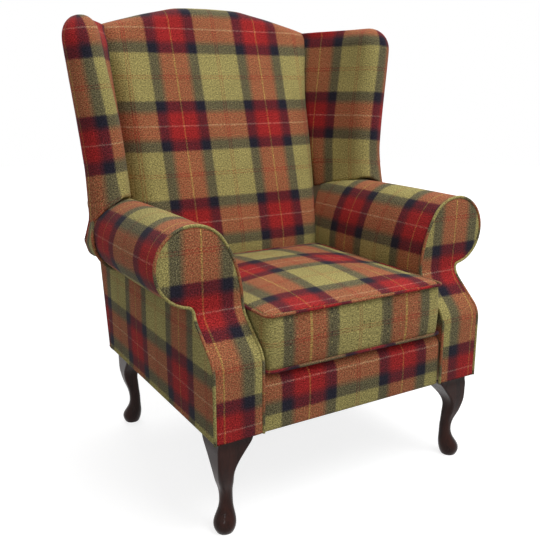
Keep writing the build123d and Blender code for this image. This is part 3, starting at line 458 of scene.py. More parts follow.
@dataclass(frozen=True)
class Tartan:
    """The woven wool: its repeat, its stripes and its yarns, whose colours are given as they look."""

    repeat: float = 257.0
    olive: Colour = (0.60, 0.56, 0.35)
    red: Colour = (0.59, 0.165, 0.165)
    navy: Colour = (0.15, 0.145, 0.185)
    brick: Colour = (0.58, 0.30, 0.20)
    yellow: Colour = (0.76, 0.60, 0.28)
    rose: Colour = (0.80, 0.56, 0.48)
    warp_navy: Pair = (59.0, 84.0)
    weft_navy: Pair = (63.0, 88.0)
    pair_gap: float = 2.4
    pair_width: float = 1.7
    line_half: float = 1.2
    sharp: float = 0.4
    edge: float = 2.5
    fade: float = 8.0
    fray: float = 0.0100
    twill_pitch: float = 0.0022
    twill_share: float = 0.12
    yarn_share: Pair = (0.20, 0.80)
    heather: Pair = (0.60, 1.40)
    cloud: Pair = (0.96, 1.04)
    roughness: Pair = (0.86, 0.98)
    nap: float = 0.35
    bump: float = 0.24

    def stripes(self, navy: Pair, middle: Colour) -> list[Stop]:
        """The order of colours in one repeat, from the middle of the olive stripe.

        Args:
            navy: where the navy stripe starts and ends.
            middle: colour of the single line in the red stripe.

        Returns:
            Places as shares of the repeat with their colours.
        """
        near, far = self.pair_gap, self.pair_gap + self.pair_width
        half, line = self.repeat / 2, self.line_half
        changes = [
            (near, self.sharp, self.brick),
            (far, self.sharp, self.olive),
            (navy[0], self.edge, self.navy),
            (navy[1] + self.fade / 2, self.fade, self.red),
            (half - line, self.sharp, middle),
            (half + line, self.sharp, self.red),
            (self.repeat - navy[1] - self.fade / 2, self.fade, self.navy),
            (self.repeat - navy[0], self.edge, self.olive),
            (self.repeat - far, self.sharp, self.brick),
            (self.repeat - near, self.sharp, self.olive),
        ]
        stops, colour = [(0.0, self.olive)], self.olive
        for place, reach, after in changes:
            stops += [((place - reach) / self.repeat, colour), ((place + reach) / self.repeat, after)]
            colour = after
        return stops

    def group(self) -> bpy.types.NodeTree:
        """The weave as a shader group: warp and weft colours mixed by a fleck and a twill, with a heather."""
        tree, nodes, start, end = new_group(
            "tartan_weave", {"Cloth": "Vector"}, {"Color": "Color", "Roughness": "Float", "Height": "Float"}
        )
        cloth = start.outputs["Cloth"]
        fray = nodes.add("TexNoise", Vector=cloth, Scale=620.0, Detail=1.0)
        shift = nodes.add("VectorMath", operation="SUBTRACT", _0=fray.outputs["Color"], _1=(0.5, 0.5, 0.5))
        reach = (self.fray, self.fray, 0.0)
        moved = nodes.add("VectorMath", operation="MULTIPLY_ADD", _0=shift.outputs[0], _1=reach, _2=cloth)
        parts = nodes.add("SeparateXYZ", Vector=moved.outputs[0])
        colours = []
        for output, navy, middle in (("X", self.warp_navy, self.yellow), ("Y", self.weft_navy, self.rose)):
            repeats = nodes.calc("MULTIPLY", parts.outputs[output], 1 / (self.repeat * MM))
            share = nodes.calc("FRACT", nodes.calc("ADD", repeats, 64.0))
            colours.append(nodes.ramp(share, self.stripes(navy, middle)))
        fleck = nodes.add("TexNoise", Vector=cloth, Scale=520.0, Detail=2.0, Roughness=0.8)
        sway = nodes.spread(fleck.outputs["Fac"], (0.38, 0.62), self.yarn_share)
        turns = [nodes.calc("MULTIPLY", parts.outputs[axis], 2 * math.pi / self.twill_pitch) for axis in "XY"]
        twill = nodes.calc("SINE", nodes.calc("ADD", *turns))
        share = nodes.calc("ADD", sway, nodes.calc("MULTIPLY", twill, self.twill_share))
        mixed = nodes.blend(share, colours[0], colours[1])
        heather = nodes.add("TexNoise", Vector=cloth, Scale=320.0, Detail=3.0, Roughness=0.85)
        level = nodes.spread(heather.outputs["Fac"], (0.36, 0.64), self.heather)
        cloud = nodes.add("TexNoise", Vector=cloth, Scale=9.0, Detail=2.0)
        broad = nodes.spread(cloud.outputs["Fac"], (0.3, 0.7), self.cloud)
        shade = nodes.calc("MULTIPLY", level, broad)
        looks = nodes.add("VectorMath", operation="SCALE", _0=mixed, Scale=shade)
        real = nodes.add("Gamma", Color=looks.outputs[0], Gamma=2.2)
        nodes.put(end.inputs["Color"], real.outputs[0])
        nodes.put(end.inputs["Roughness"], nodes.spread(fleck.outputs["Fac"], gives=self.roughness))
        ridge = nodes.calc("MULTIPLY", twill, self.nap)
        nodes.put(end.inputs["Height"], nodes.calc("ADD", ridge, heather.outputs["Fac"]))
        return tree

    def material(self, group: bpy.types.NodeTree) -> bpy.types.Material:
        """The wool as a material that follows a piece's cloth coordinates."""
        material, nodes, shader = blank_material("tartan_wool")
        place = nodes.add("UVMap", uv_map=CLOTH_MAP)
        weave = nodes.add("Group", node_tree=group)
        nodes.put(weave.inputs["Cloth"], place.outputs[0])
        bump = nodes.add("Bump", Strength=self.bump, Distance=0.0007, Height=weave.outputs["Height"])
        for name, value in (
            ("Base Color", weave.outputs["Color"]),
            ("Roughness", weave.outputs["Roughness"]),
            ("Normal", bump.outputs[0]),
            ("Sheen Weight", 0.04),
            ("Sheen Roughness", 0.5),
            ("Specular IOR Level", 0.12),
        ):
            nodes.put(shader.inputs[name], value)
        return material


def blank_material(name: str) -> tuple[bpy.types.Material, Nodes, bpy.types.Node]:
    """A new node material with its Principled shader."""
    material = bpy.data.materials.new(name)
    material.use_nodes = True
    nodes = Nodes(material.node_tree)
    return material, nodes, material.node_tree.nodes["Principled BSDF"]


def grain_group() -> bpy.types.NodeTree:
    """Wood grain as a shader group: noise drawn out along the fibre, with fine pores."""
    tree, nodes, start, end = new_group(
        "wood_grain",
        {"Place": "Vector", "Light": "Color", "Dark": "Color", "Gloss": "Float"},
        {"Color": "Color", "Roughness": "Float", "Height": "Float"},
    )
    place = start.outputs["Place"]
    broad = nodes.add("TexNoise", Vector=place, Scale=26.0, Detail=4.0, Roughness=0.6, Distortion=0.8)
    pores = nodes.add("TexNoise", Vector=place, Scale=240.0, Detail=2.0)
    fibres = nodes.calc("MULTIPLY", broad.outputs["Fac"], 1.1)
    share = nodes.calc("ADD", fibres, nodes.calc("MULTIPLY", pores.outputs["Fac"], 0.35))
    level = nodes.spread(share, (0.45, 1.0))
    nodes.put(end.inputs["Color"], nodes.blend(level, start.outputs["Dark"], start.outputs["Light"]))
    dull = nodes.calc("MULTIPLY", broad.outputs["Fac"], 0.12)
    nodes.put(end.inputs["Roughness"], nodes.calc("ADD", start.outputs["Gloss"], dull))
    nodes.put(end.inputs["Height"], pores.outputs["Fac"])
    return tree


def plain_weave_group() -> bpy.types.NodeTree:
    """A plain weave as a shader group: the product of two waves square to each other, with fleck."""
    tree, nodes, start, end = new_group(
        "plain_weave",
        {"Place": "Vector", "Light": "Color", "Dark": "Color", "Pitch": "Float"},
        {"Color": "Color", "Roughness": "Float", "Height": "Float"},
    )
    step = nodes.calc("DIVIDE", 2 * math.pi, start.outputs["Pitch"])
    parts = nodes.add("SeparateXYZ", Vector=start.outputs["Place"])
    level = nodes.calc("ADD", parts.outputs["X"], parts.outputs["Z"])
    one = nodes.calc("SINE", nodes.calc("MULTIPLY", level, step))
    two = nodes.calc("SINE", nodes.calc("MULTIPLY", parts.outputs["Y"], step))
    knots = nodes.calc("MULTIPLY", one, two)
    fleck = nodes.add("TexNoise", Vector=start.outputs["Place"], Scale=300.0, Detail=3.0)
    share = nodes.calc("ADD", nodes.calc("MULTIPLY", knots, 0.3), fleck.outputs["Fac"])
    nodes.put(end.inputs["Color"], nodes.blend(share, start.outputs["Dark"], start.outputs["Light"]))
    dull = nodes.calc("MULTIPLY", fleck.outputs["Fac"], 0.2)
    nodes.put(end.inputs["Roughness"], nodes.calc("ADD", dull, 0.75))
    nodes.put(end.inputs["Height"], nodes.calc("ADD", knots, fleck.outputs["Fac"]))
    return tree


@dataclass(frozen=True)
class GroupFinish:
    """A finish made of one shared group with its own colours."""

    name: str
    light: Colour
    dark: Colour
    value_name: str
    value: float
    stretch: tuple[float, float, float] = (1.0, 1.0, 1.0)
    bump: float = 0.2
    metallic: float = 0.0
    coat: float = 0.0
    specular: float = 0.5

    def material(self, group: bpy.types.NodeTree) -> bpy.types.Material:
        """The finish as a material on Object coordinates."""
        material, nodes, shader = blank_material(self.name)
        place = nodes.add("TexCoord")
        turned = nodes.add("Mapping", Vector=place.outputs["Object"], Scale=self.stretch)
        made = nodes.add("Group", node_tree=group)
        nodes.put(made.inputs["Place"], turned.outputs[0])
        nodes.put(made.inputs["Light"], (*self.light, 1.0))
        nodes.put(made.inputs["Dark"], (*self.dark, 1.0))
        nodes.put(made.inputs[self.value_name], self.value)
        bump = nodes.add("Bump", Strength=self.bump, Distance=0.0005, Height=made.outputs["Height"])
        for name, value in (
            ("Base Color", made.outputs["Color"]),
            ("Roughness", made.outputs["Roughness"]),
            ("Normal", bump.outputs[0]),
            ("Metallic", self.metallic),
            ("Coat Weight", self.coat),
            ("Coat Roughness", 0.08),
            ("Specular IOR Level", self.specular),
        ):
            nodes.put(shader.inputs[name], value)
        return material


class Finishes:
    """Every finish of the chair, made once."""

    def __init__(self) -> None:
        """Build the shared groups and the materials."""
        tartan = Tartan()
        grain, weave = grain_group(), plain_weave_group()
        self.wool = tartan.material(tartan.group())
        self.mahogany = GroupFinish(
            "mahogany",
            (0.050, 0.015, 0.010),
            (0.010, 0.0035, 0.0025),
            "Gloss",
            0.22,
            stretch=(1.0, 1.0, 0.16),
            bump=0.04,
            coat=0.08,
            specular=0.11,
        ).material(grain)
        self.beech = GroupFinish(
            "beech_frame", (0.56, 0.37, 0.21), (0.36, 0.22, 0.12), "Gloss", 0.55, stretch=(1.0, 0.3, 0.3)
        ).material(grain)
        self.plywood = GroupFinish(
            "plywood", (0.60, 0.43, 0.26), (0.42, 0.28, 0.16), "Gloss", 0.6, stretch=(1.0, 1.0, 0.2)
        ).material(grain)
        self.steel = GroupFinish(
            "bolt_steel",
            (0.62, 0.62, 0.60),
            (0.45, 0.45, 0.44),
            "Gloss",
            0.24,
            stretch=(4.0, 4.0, 0.5),
            bump=0.03,
            metallic=1.0,
        ).material(grain)
        self.webbing = GroupFinish(
            "webbing", (0.07, 0.06, 0.045), (0.02, 0.018, 0.014), "Pitch", 0.0032, bump=0.6
        ).material(weave)
        self.platform = GroupFinish(
            "platform_cloth", (0.085, 0.065, 0.045), (0.03, 0.024, 0.018), "Pitch", 0.0016, bump=0.35
        ).material(weave)
        self.lining = GroupFinish(
            "black_lining", (0.02, 0.02, 0.021), (0.006, 0.006, 0.006), "Pitch", 0.0014, bump=0.3
        ).material(weave)
        self.foam = GroupFinish(
            "cushion_foam", (0.78, 0.70, 0.50), (0.62, 0.54, 0.36), "Pitch", 0.0026, bump=0.5
        ).material(weave)
        self.tape = GroupFinish(
            "zip_tape", (0.03, 0.02, 0.018), (0.01, 0.008, 0.007), "Pitch", 0.0014, bump=0.4
        ).material(weave)


# ------------------------------------------------------------------ governing lines
@dataclass(frozen=True)
class ChairLines:
    """The lines that several pieces share, in millimetres."""

    front_y: float = -398.0
    seat_frame_z: float = 217.0
    arm_inner: float = 243.0
    arm_outer: float = 356.0
    scroll_x: float = 352.0
    scroll_z: float = 563.0
    scroll_radius: float = 83.0
    sweep_radius: float = 260.0
    notch_radius: float = 14.0
    curve_z: float = 362.0
    curve_radius: float = 50.0
    curve_turn: float = math.radians(48.0)
    set_back: float = 85.0
    back_depth: float = 648.0
    back_rake: float = math.tan(math.radians(9.8))
    face_depth: float = 520.0
    face_bend: float = 500.0
    face_angle: float = math.radians(16.0)
    crest_x: tuple[float, ...] = (0.0, 60.0, 95.0, 133.0, 183.0, 260.0, 305.0, 400.0)
    crest_z: tuple[float, ...] = (1108.0, 1107.0, 1105.0, 1096.5, 1086.0, 1066.0, 1053.5, 1030.0)
    join_z: tuple[float, ...] = (300.0, 540.0, 565.0, 726.0, 871.0, 1055.0, 1110.0)
    join_x: tuple[float, ...] = (243.0, 243.0, 244.0, 258.0, 265.0, 296.0, 298.0)
    wing_origin: tuple[float, float, float] = (369.0, 490.0, 600.0)
    wing_splay: float = math.radians(29.5)
    wing_lean: tuple[float, float, float] = (0.0875, 0.05, 1.0)
    wing_half: float = 48.5
    wing_rise: float = 466.0
    wing_fall: float = 0.0425
    roll_end_z: tuple[float, ...] = (400.0, 560.0, 583.0, 614.0, 645.0, 700.0)
    roll_end_depth: tuple[float, ...] = (436.0, 438.0, 448.0, 478.0, 508.0, 540.0)

    def arm_path(self, inset: float = 0.0, spacing: float = 3.0) -> np.ndarray:
        """Front view of the right arm from its inner foot over the scroll to its outer foot.

        It is a line, a wide arc, the scroll's arc, the small hollow's arc and a line, each touching the next.

        Args:
            inset: how far the outline is drawn in.
            spacing: distance between points.

        Returns:
            Points as x and height.
        """
        sweep_x = self.arm_inner + self.sweep_radius
        reach = self.sweep_radius - self.scroll_radius
        sweep_z = self.scroll_z - math.sqrt(reach**2 - (sweep_x - self.scroll_x) ** 2)
        sweep_end = math.pi - math.atan2(self.scroll_z - sweep_z, sweep_x - self.scroll_x)
        notch_x = self.arm_outer + self.notch_radius
        notch_reach = self.scroll_radius + self.notch_radius
        notch_z = self.scroll_z - math.sqrt(notch_reach**2 - (notch_x - self.scroll_x) ** 2)
        notch_turn = math.atan2(self.scroll_z - notch_z, notch_x - self.scroll_x)
        inner, outer = self.arm_inner + inset, self.arm_outer - inset
        parts = [
            np.array([[inner, self.seat_frame_z], [inner, sweep_z]]),
            arc((sweep_x, sweep_z), self.sweep_radius - inset, math.pi, sweep_end),
            arc((self.scroll_x, self.scroll_z), self.scroll_radius - inset, sweep_end, -notch_turn),
            arc((notch_x, notch_z), self.notch_radius + inset, math.pi - notch_turn, math.pi),
            np.array([[outer, notch_z], [outer, self.seat_frame_z]]),
        ]
        return evenly(np.vstack(parts), spacing)

    def front_curve(self) -> np.ndarray:
        """Side view of the arm's front: upright, an arc back, a slope, an arc up again, upright.

        Returns:
            Rows of height, depth and length along the cloth from the floor.
        """
        turn = np.linspace(0.0, self.curve_turn, 40)
        rise, back = self.curve_radius * np.sin(turn), self.curve_radius * (1 - np.cos(turn))
        low = np.stack([self.curve_z + rise, back], 1)
        slope = (self.set_back - 2 * low[-1, 1]) / math.sin(self.curve_turn)
        top_z = self.curve_z + 2 * self.curve_radius * math.sin(self.curve_turn)
        top_z = top_z + slope * math.cos(self.curve_turn)
        high = np.stack([top_z - self.curve_radius * np.sin(turn[::-1]), self.set_back - low[::-1, 1]], 1)
        line = np.vstack([[[0.0, 0.0]], low, high, [[1300.0, self.set_back]]])
        return np.column_stack([line, run_lengths(line)])

    def front_depth(self, z: np.ndarray) -> np.ndarray:
        """Depth of the S-curved front at heights z, read along the curve."""
        curve = self.front_curve()
        return np.interp(z, curve[:, 0], curve[:, 1])

    def front_run(self, z: np.ndarray) -> np.ndarray:
        """Length of cloth along the S-curved front up to heights z."""
        curve = self.front_curve()
        return np.interp(z, curve[:, 0], curve[:, 2])

    def rear_depth(self, z: np.ndarray) -> np.ndarray:
        """Depth of the raked rear plane at heights z."""
        return self.back_depth + (z - self.seat_frame_z) * self.back_rake

    def face_depth_at(self, z: np.ndarray) -> np.ndarray:
        """Depth of the inside back's face: upright to the bend and raked above it, softened at the bend."""
        top = 1300.0
        top_depth = self.face_depth + (top - self.face_bend) * math.tan(self.face_angle)
        depths = np.array([self.face_depth, self.face_depth, top_depth])
        return softened(z, np.array([0.0, self.face_bend, top]), depths, 30.0)

    def crest_at(self, x: np.ndarray) -> np.ndarray:
        """Height of the humped crest at places x, the same on both sides."""
        xs = np.concatenate([-np.array(self.crest_x[:0:-1]), self.crest_x])
        zs = np.concatenate([np.array(self.crest_z[:0:-1]), self.crest_z])
        return softened(x, xs, zs, 26.0)

    def join_at(self, z: np.ndarray) -> np.ndarray:
        """Half width between the wings, or the arms below them, where they meet the inside back."""
        return softened(z, np.array(self.join_z), np.array(self.join_x), 25.0)

    def roll_end(self, z: np.ndarray) -> np.ndarray:
        """Depth at which the outer half of an arm's roll ends, at the wing's outside panel."""
        return softened(z, np.array(self.roll_end_z), np.array(self.roll_end_depth), 10.0)

    def wing_axes(self) -> tuple[np.ndarray, np.ndarray, np.ndarray]:
        """The right wing's directions: backwards along it, up along it and outwards from it."""
        back = np.array([-math.sin(self.wing_splay), math.cos(self.wing_splay), 0.0])
        lean = np.array(self.wing_lean) / np.linalg.norm(self.wing_lean)
        out = np.cross(back, lean)
        out /= np.linalg.norm(out)
        return back, np.cross(out, back), out

    def y(self, depth: np.ndarray) -> np.ndarray:
        """The y of a depth."""
        return self.front_y + depth


def placed(x: np.ndarray, depth: np.ndarray, z: np.ndarray, lines: ChairLines) -> np.ndarray:
    """Points of x, depth and height, made the same shape."""
    return np.stack(np.broadcast_arrays(x, lines.y(depth), z), -1).astype(float)


def cloth_of(u: np.ndarray, v: np.ndarray) -> np.ndarray:
    """Cloth coordinates of u and v, made the same shape."""
    return np.stack(np.broadcast_arrays(u, v), -1).astype(float)


@dataclass
class SubAssembly:
    """What every sub-assembly needs: the shared lines, the finishes and the body it rides on."""

    lines: ChairLines
    finishes: Finishes
    body: str = "chair"

    def dress(
        self,
        piece: bpy.types.Object,
        material: bpy.types.Material,
        slot: str,
        *nodes: str,
        fill: float | None = None,
    ) -> bpy.types.Object:
        """Give a piece its finish, its body and the CAD nodes that it stands for.

        Args:
            piece: the piece.
            material: its finish.
            slot: the record's material slot; not used.
            nodes: CAD nodes that it replaces.
            fill: how tight its stuffing is, or None for a piece with none; not used.

        Returns:
            The piece.
        """
        piece.data.materials.clear()
        piece.data.materials.append(material)
        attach(piece, self.body)
        if nodes:
            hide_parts(*nodes)
        log.info("%s: %d points, for %s", piece.name, len(piece.data.vertices), ", ".join(nodes) or "itself")
        return piece

    def wool(self, piece: bpy.types.Object, *nodes: str, fill: float | None = None) -> bpy.types.Object:
        """Dress a piece in the tartan."""
        return self.dress(piece, self.finishes.wool, "tartan_wool", *nodes, fill=fill)


@dataclass
class SidedAssembly(SubAssembly):
    """A sub-assembly that is drawn on the right and mirrored for the left."""

    side: Side = Side.RIGHT

    def mirrored(self, points: np.ndarray) -> np.ndarray:
        """Right-hand points moved to this side."""
        points = points.copy()
        points[..., 0] *= self.side.value
        return points


# ------------------------------------------------------------------ arms
@dataclass
class Arm(SidedAssembly):
    """One arm: its padded roll, S-shaped facing with piping, outside panel and the seam under the roll."""

    piping_radius: float = 3.4
    facing_cover: float = 5.0
    facing_dome: float = 3.6
    roll_padding: float = 14.0
    outside_thickness: float = 4.0
    under_angle: float = math.radians(-68.0)
    hem: float = 1.6
    column: float = -260.0
    row: float = -490.5
    facing_column: float = -206.5
    facing_slant: float = 15.0
    outside_column: float = -292.0
    outside_row: float = -427.0
    roll_low_z: float = 318.0
    roll_swell: float = 2.2
    roll_steps: int = 110
    panel_steps: int = 130
    under_radius: float = 3.0
    under_steps: int = 120

    def roll(self) -> bpy.types.Object:
        """The inner side and roll: the arm's outline carried from behind the facing to the back.

        Its radius grows a little in the middle of its length."""
        path = self.lines.arm_path()
        run = run_lengths(path)
        top = int(np.argmax(path[:, 1]))
        angle = np.arctan2(path[:, 1] - self.lines.scroll_z, path[:, 0] - self.lines.scroll_x)
        number = np.arange(len(path))
        used = (path[:, 1] > self.roll_low_z) & ((number < top) | (angle > self.under_angle - 0.1))
        used &= ~((number > top) & (path[:, 1] < 484.0))
        x, z, run = path[used, 0], path[used, 1], run[used]
        start = self.lines.front_depth(z) + self.facing_cover
        inner_end = self.lines.face_depth_at(z) + 22.0
        outer = eased((run - run[int(np.argmax(z))] - 4.0) / 26.0)
        end = inner_end * (1 - outer) + (self.lines.roll_end(z) - 2.0) * outer
        t = np.linspace(0.0, 1.0, self.roll_steps)[:, None]
        depth = start + (end - start) * t
        swell = self.roll_swell * np.sin(np.pi * t) * eased((z - 430.0) / 60.0)
        away = np.stack([x - self.lines.scroll_x, z - self.lines.scroll_z], 1)
        away /= np.maximum(np.linalg.norm(away, axis=1, keepdims=True), 1.0)
        points = placed(x + swell * away[:, 0], depth, z + swell * away[:, 1], self.lines)
        cloth = cloth_of(depth + self.column, run + self.row)
        inside = np.array([310.0 * self.side.value, 0.0, 470.0])
        piece = grid_object(f"arm_roll_{self.side.word}", [Grid(self.mirrored(points), cloth)], inside)
        return self.wool(thickened(piece, self.roll_padding), f"arm_{self.side.word}", fill=0.7)

    def facing(self) -> bpy.types.Object:
        """The facing: level lines from the inner to the outer outline, domed away from the outline."""
        path = self.lines.arm_path(inset=1.5, spacing=2.0)
        top = int(np.argmax(path[:, 1]))
        low, high = self.lines.seat_frame_z + 1.0, path[top, 1] - 0.15
        z = low + (high - low) * np.sin(np.linspace(0.0, math.pi / 2, 190))
        inner = np.interp(z, path[: top + 1, 1], path[: top + 1, 0])
        outer = np.interp(z, path[: top - 1 : -1, 1], path[: top - 1 : -1, 0])
        s = (1 - np.cos(np.linspace(0.0, math.pi, 40))) / 2
        x = inner[:, None] + (outer - inner)[:, None] * s
        z = np.broadcast_to(z[:, None], x.shape)
        gap = np.sqrt((x[..., None] - path[:, 0]) ** 2 + (z[..., None] - path[:, 1]) ** 2).min(-1)
        depth = self.lines.front_depth(z) + 2.6 - self.facing_dome * (1 - np.exp(-gap / 6.0))
        run = self.lines.front_run(z)
        slant = self.facing_slant * np.clip((run - 330.0) / 300.0, 0.0, 1.0)
        cloth = cloth_of(x + self.facing_column - slant, run - 371.0)
        points = self.mirrored(placed(x, depth, z, self.lines))
        word, inside = self.side.word, np.array([0.0, 900.0, 400.0])
        piece = grid_object(f"facing_front_{word}", [Grid(points, cloth)], inside)
        return self.wool(thickened(piece, 4.0), f"facing_{word}", fill=0.4)

    def piping(self) -> bpy.types.Object:
        """The cord round the facing, along the arm's outline and back along the S-curve."""
        path = self.lines.arm_path(inset=1.0, spacing=3.0)
        line = placed(path[:, 0], self.lines.front_depth(path[:, 1]) + 1.8, path[:, 1], self.lines)
        word, radius = self.side.word, self.piping_radius
        piece = tube(f"facing_cord_{word}", self.mirrored(line), radius, (0.0, 1.0, 0.0), 40.0, 14.0)
        return self.wool(piece, f"facing_piping_{word}")

    def under_piping(self) -> bpy.types.Object:
        """The cord in the seam under the roll, straight back from the facing."""
        x = self.lines.scroll_x + self.lines.scroll_radius * math.cos(self.under_angle)
        z = self.lines.scroll_z + self.lines.scroll_radius * math.sin(self.under_angle)
        word, count = self.side.word, self.under_steps
        depth = np.linspace(float(self.lines.front_depth(np.array(z))) + 6.0, 446.0, count)
        line = placed(np.full(count, x - 2.0), depth, np.full(count, z - 1.5), self.lines)
        path = self.mirrored(line)
        piece = tube(f"under_arm_cord_{word}", path, self.under_radius, (0.0, 0.0, 1.0), 10.0, 10.0)
        return self.wool(piece, f"under_arm_piping_{word}")

    def outside(self) -> bpy.types.Object:
        """The outside panel: level lines to the rear, turned under at the hem and out under the roll."""
        notch_z, radius = 467.7, self.lines.notch_radius
        z = np.concatenate([[217.3, 217.3, 217.9, 219.6], np.linspace(222.0, 481.0, 76)])
        tuck = np.concatenate([[-18.0, -6.0, -2.0, -0.5], np.zeros(76)])
        start = self.lines.front_depth(z) + self.facing_cover
        end = self.lines.rear_depth(z) - 2.5
        t = np.linspace(0.0, 1.0, self.panel_steps)[:, None]
        depth = start + (end - start) * t
        rise = np.clip(z - notch_z, 0.0, 13.4)
        hollow = radius - np.sqrt(np.maximum(radius**2 - rise**2, 0.0))
        belly = 2.5 * np.sin(np.pi * np.clip((z - 217.0) / 264.0, 0, 1)) * np.sin(np.pi * t) ** 0.7
        hem = self.hem * np.exp(-(((z - 222.0) / 3.5) ** 2))
        x = self.lines.arm_outer - 10.0 * depth / self.lines.back_depth + tuck + hollow + belly + hem
        cloth = cloth_of(depth + self.outside_column, z + tuck + self.outside_row)
        points = self.mirrored(placed(x, depth, z, self.lines))
        word, inside = self.side.word, np.array([0.0, 0.0, 340.0])
        piece = grid_object(f"outside_arm_panel_{word}", [Grid(points, cloth)], inside)
        return self.wool(thickened(piece, self.outside_thickness), f"outside_arm_{word}", fill=0.3)

    def build(self) -> None:
        """Make every piece of the arm."""
        self.roll()
        self.facing()
        self.piping()
        self.under_piping()
        self.outside()


# ------------------------------------------------------------------ wings
@dataclass
class Wing(SidedAssembly):
    """One wing: the padded wing, its outside panel that runs down over the arm's end, and their cord.

    In the outside panel the wing's directions are rounded: along it (-splay_x, splay_y, 0), up it
    (rise_x, rise_y, rise_z) and out of it (out_x, out_y, -out_fall).
    """

    round: float = 46.0
    seam_low: float = 8.0
    seam_high: float = 74.0
    seam_low_rise: float = 60.0
    seam_high_rise: float = 330.0
    lean_out: float = 8.8
    lean_forward: float = 5.0
    slimming: float = 0.135
    lean_start: float = 170.0
    lean_reach: float = 270.0
    hollow: float = 0.23
    hollow_most: float = 36.0
    foot: float = 640.0
    toe: float = 7.0
    column: float = 97.0
    row: float = -92.5
    outside_column: float = -590.0
    outside_row: float = -527.0
    splay_x: float = 0.4924
    splay_y: float = 0.8704
    rise_x: float = 0.087
    rise_y: float = 0.049
    rise_z: float = 0.995
    out_x: float = 0.866
    out_y: float = 0.49
    out_fall: float = 0.1
    front_z: tuple[float, ...] = (479.0, 570.0, 600.0, 646.0, 696.0)
    front_x: tuple[float, ...] = (435.0, 435.0, 429.5, 425.0, 421.0)
    rear_z: tuple[float, ...] = (440.0, 462.0, 486.0, 509.0, 530.0, 561.0, 612.0, 667.0, 700.0)
    rear_x: tuple[float, ...] = (320.0, 344.0, 375.0, 382.0, 374.0, 363.5, 357.0, 351.0, 348.0)

    def local(self, points: np.ndarray) -> tuple[np.ndarray, np.ndarray, np.ndarray]:
        """Places of points along, up and out of the wing, from its origin."""
        origin = np.array(self.lines.wing_origin) + np.array([0.0, self.lines.front_y, 0.0])
        moved = self.mirrored(points) - origin
        return tuple(moved @ axis for axis in self.lines.wing_axes())

    def padded_wing(self) -> bpy.types.Object:
        """The padded wing: its CAD solid as an even net with softened corners.

        The cloth runs from the inner side round the front roll, by angle times radius, and over the top
        in the same way."""
        word = self.side.word
        piece = stuffed(solid_copy(f"wing_{word}", f"wing_pad_{word}"), 5.0, 5)
        points, corner, face = corner_points(piece)
        along, up, out = self.local(points)
        half = self.lines.wing_half
        inner = eased(-out / half)
        full = eased((up - self.lean_start) / self.lean_reach)
        most = self.hollow_most - (self.lean_out + self.slimming * half) * full
        thin = most * np.tanh(np.maximum(along - 4.0, 0.0) * self.hollow / most)
        lean = self.leaning(along, up)
        lean = lean + (full - lean) * inner
        shift = inner * thin + self.lean_out * lean - self.slimming * lean * out
        back, _, away = self.lines.wing_axes()
        moved = points + self.mirrored(shift[:, None] * away - self.lean_forward * lean[:, None] * back)
        moved -= self.mirrored(self.toe * (1 - eased((up - 40.0) / 110.0))[:, None] * back)
        moved[:, 2] += self.foot_shift(np.abs(moved[:, 0]), moved[:, 2])
        piece.data.vertices.foreach_set("co", (moved * MM).ravel())
        a, r, n = along[corner], up[corner], out[corner]
        count = np.bincount(face)
        centre = [np.bincount(face, q) / count for q in (a, r, n)]
        ca, cr, cn = (q[face] for q in centre)
        top = self.lines.wing_rise - (ca + half) * self.lines.wing_fall
        quarter = half * math.pi / 2
        front = ca <= 0
        over = (cr > top - self.round) & ~front & (cr - (top - self.round) > cn)
        outer = ~front & (cn > 0) & ~over
        bend = half * np.arctan2(n, np.maximum(-a, 1e-3))
        wrap = np.where(front, bend, np.where(outer, quarter + a, -quarter - a))
        reach = np.where(front, np.hypot(a, n), np.where(over, -n, np.abs(n)))
        rise = r - (top - self.round)
        height = np.where(rise > 0, top - self.round + self.round * np.arctan2(rise, reach), r)
        lay_cloth(piece, np.stack([wrap + self.column, height + self.row], 1))
        return self.wool(piece, f"wing_{word}", fill=0.75)

    def leaning(self, along: np.ndarray, rise: np.ndarray) -> np.ndarray:
        """Share of the outward lean and slimming: none below, full at the front top, fading out backwards."""
        return eased((rise - self.lean_start) / self.lean_reach) * (1 - eased((along - 40.0) / 150.0))

    def foot_shift(self, x: np.ndarray, z: np.ndarray) -> np.ndarray:
        """How far the wing's foot moves to lie on the arm's roll, fading out over its lowest part."""
        lines = self.lines
        square = lines.scroll_radius**2 - (x - lines.scroll_x) ** 2
        roll = lines.scroll_z + np.sqrt(np.maximum(square, 30.0**2))
        return (roll + 1.5 - self.foot) * (1 - eased((z - self.foot) / 75.0))

    def seam(self, rise: np.ndarray) -> np.ndarray:
        """How far behind the roll's middle the outside seam lies, at a height along the wing."""
        return softened(
            rise,
            np.array([-300.0, self.seam_low_rise, self.seam_high_rise, 900.0]),
            np.array([self.seam_low, self.seam_low, self.seam_high, self.seam_high]),
            40.0,
        )

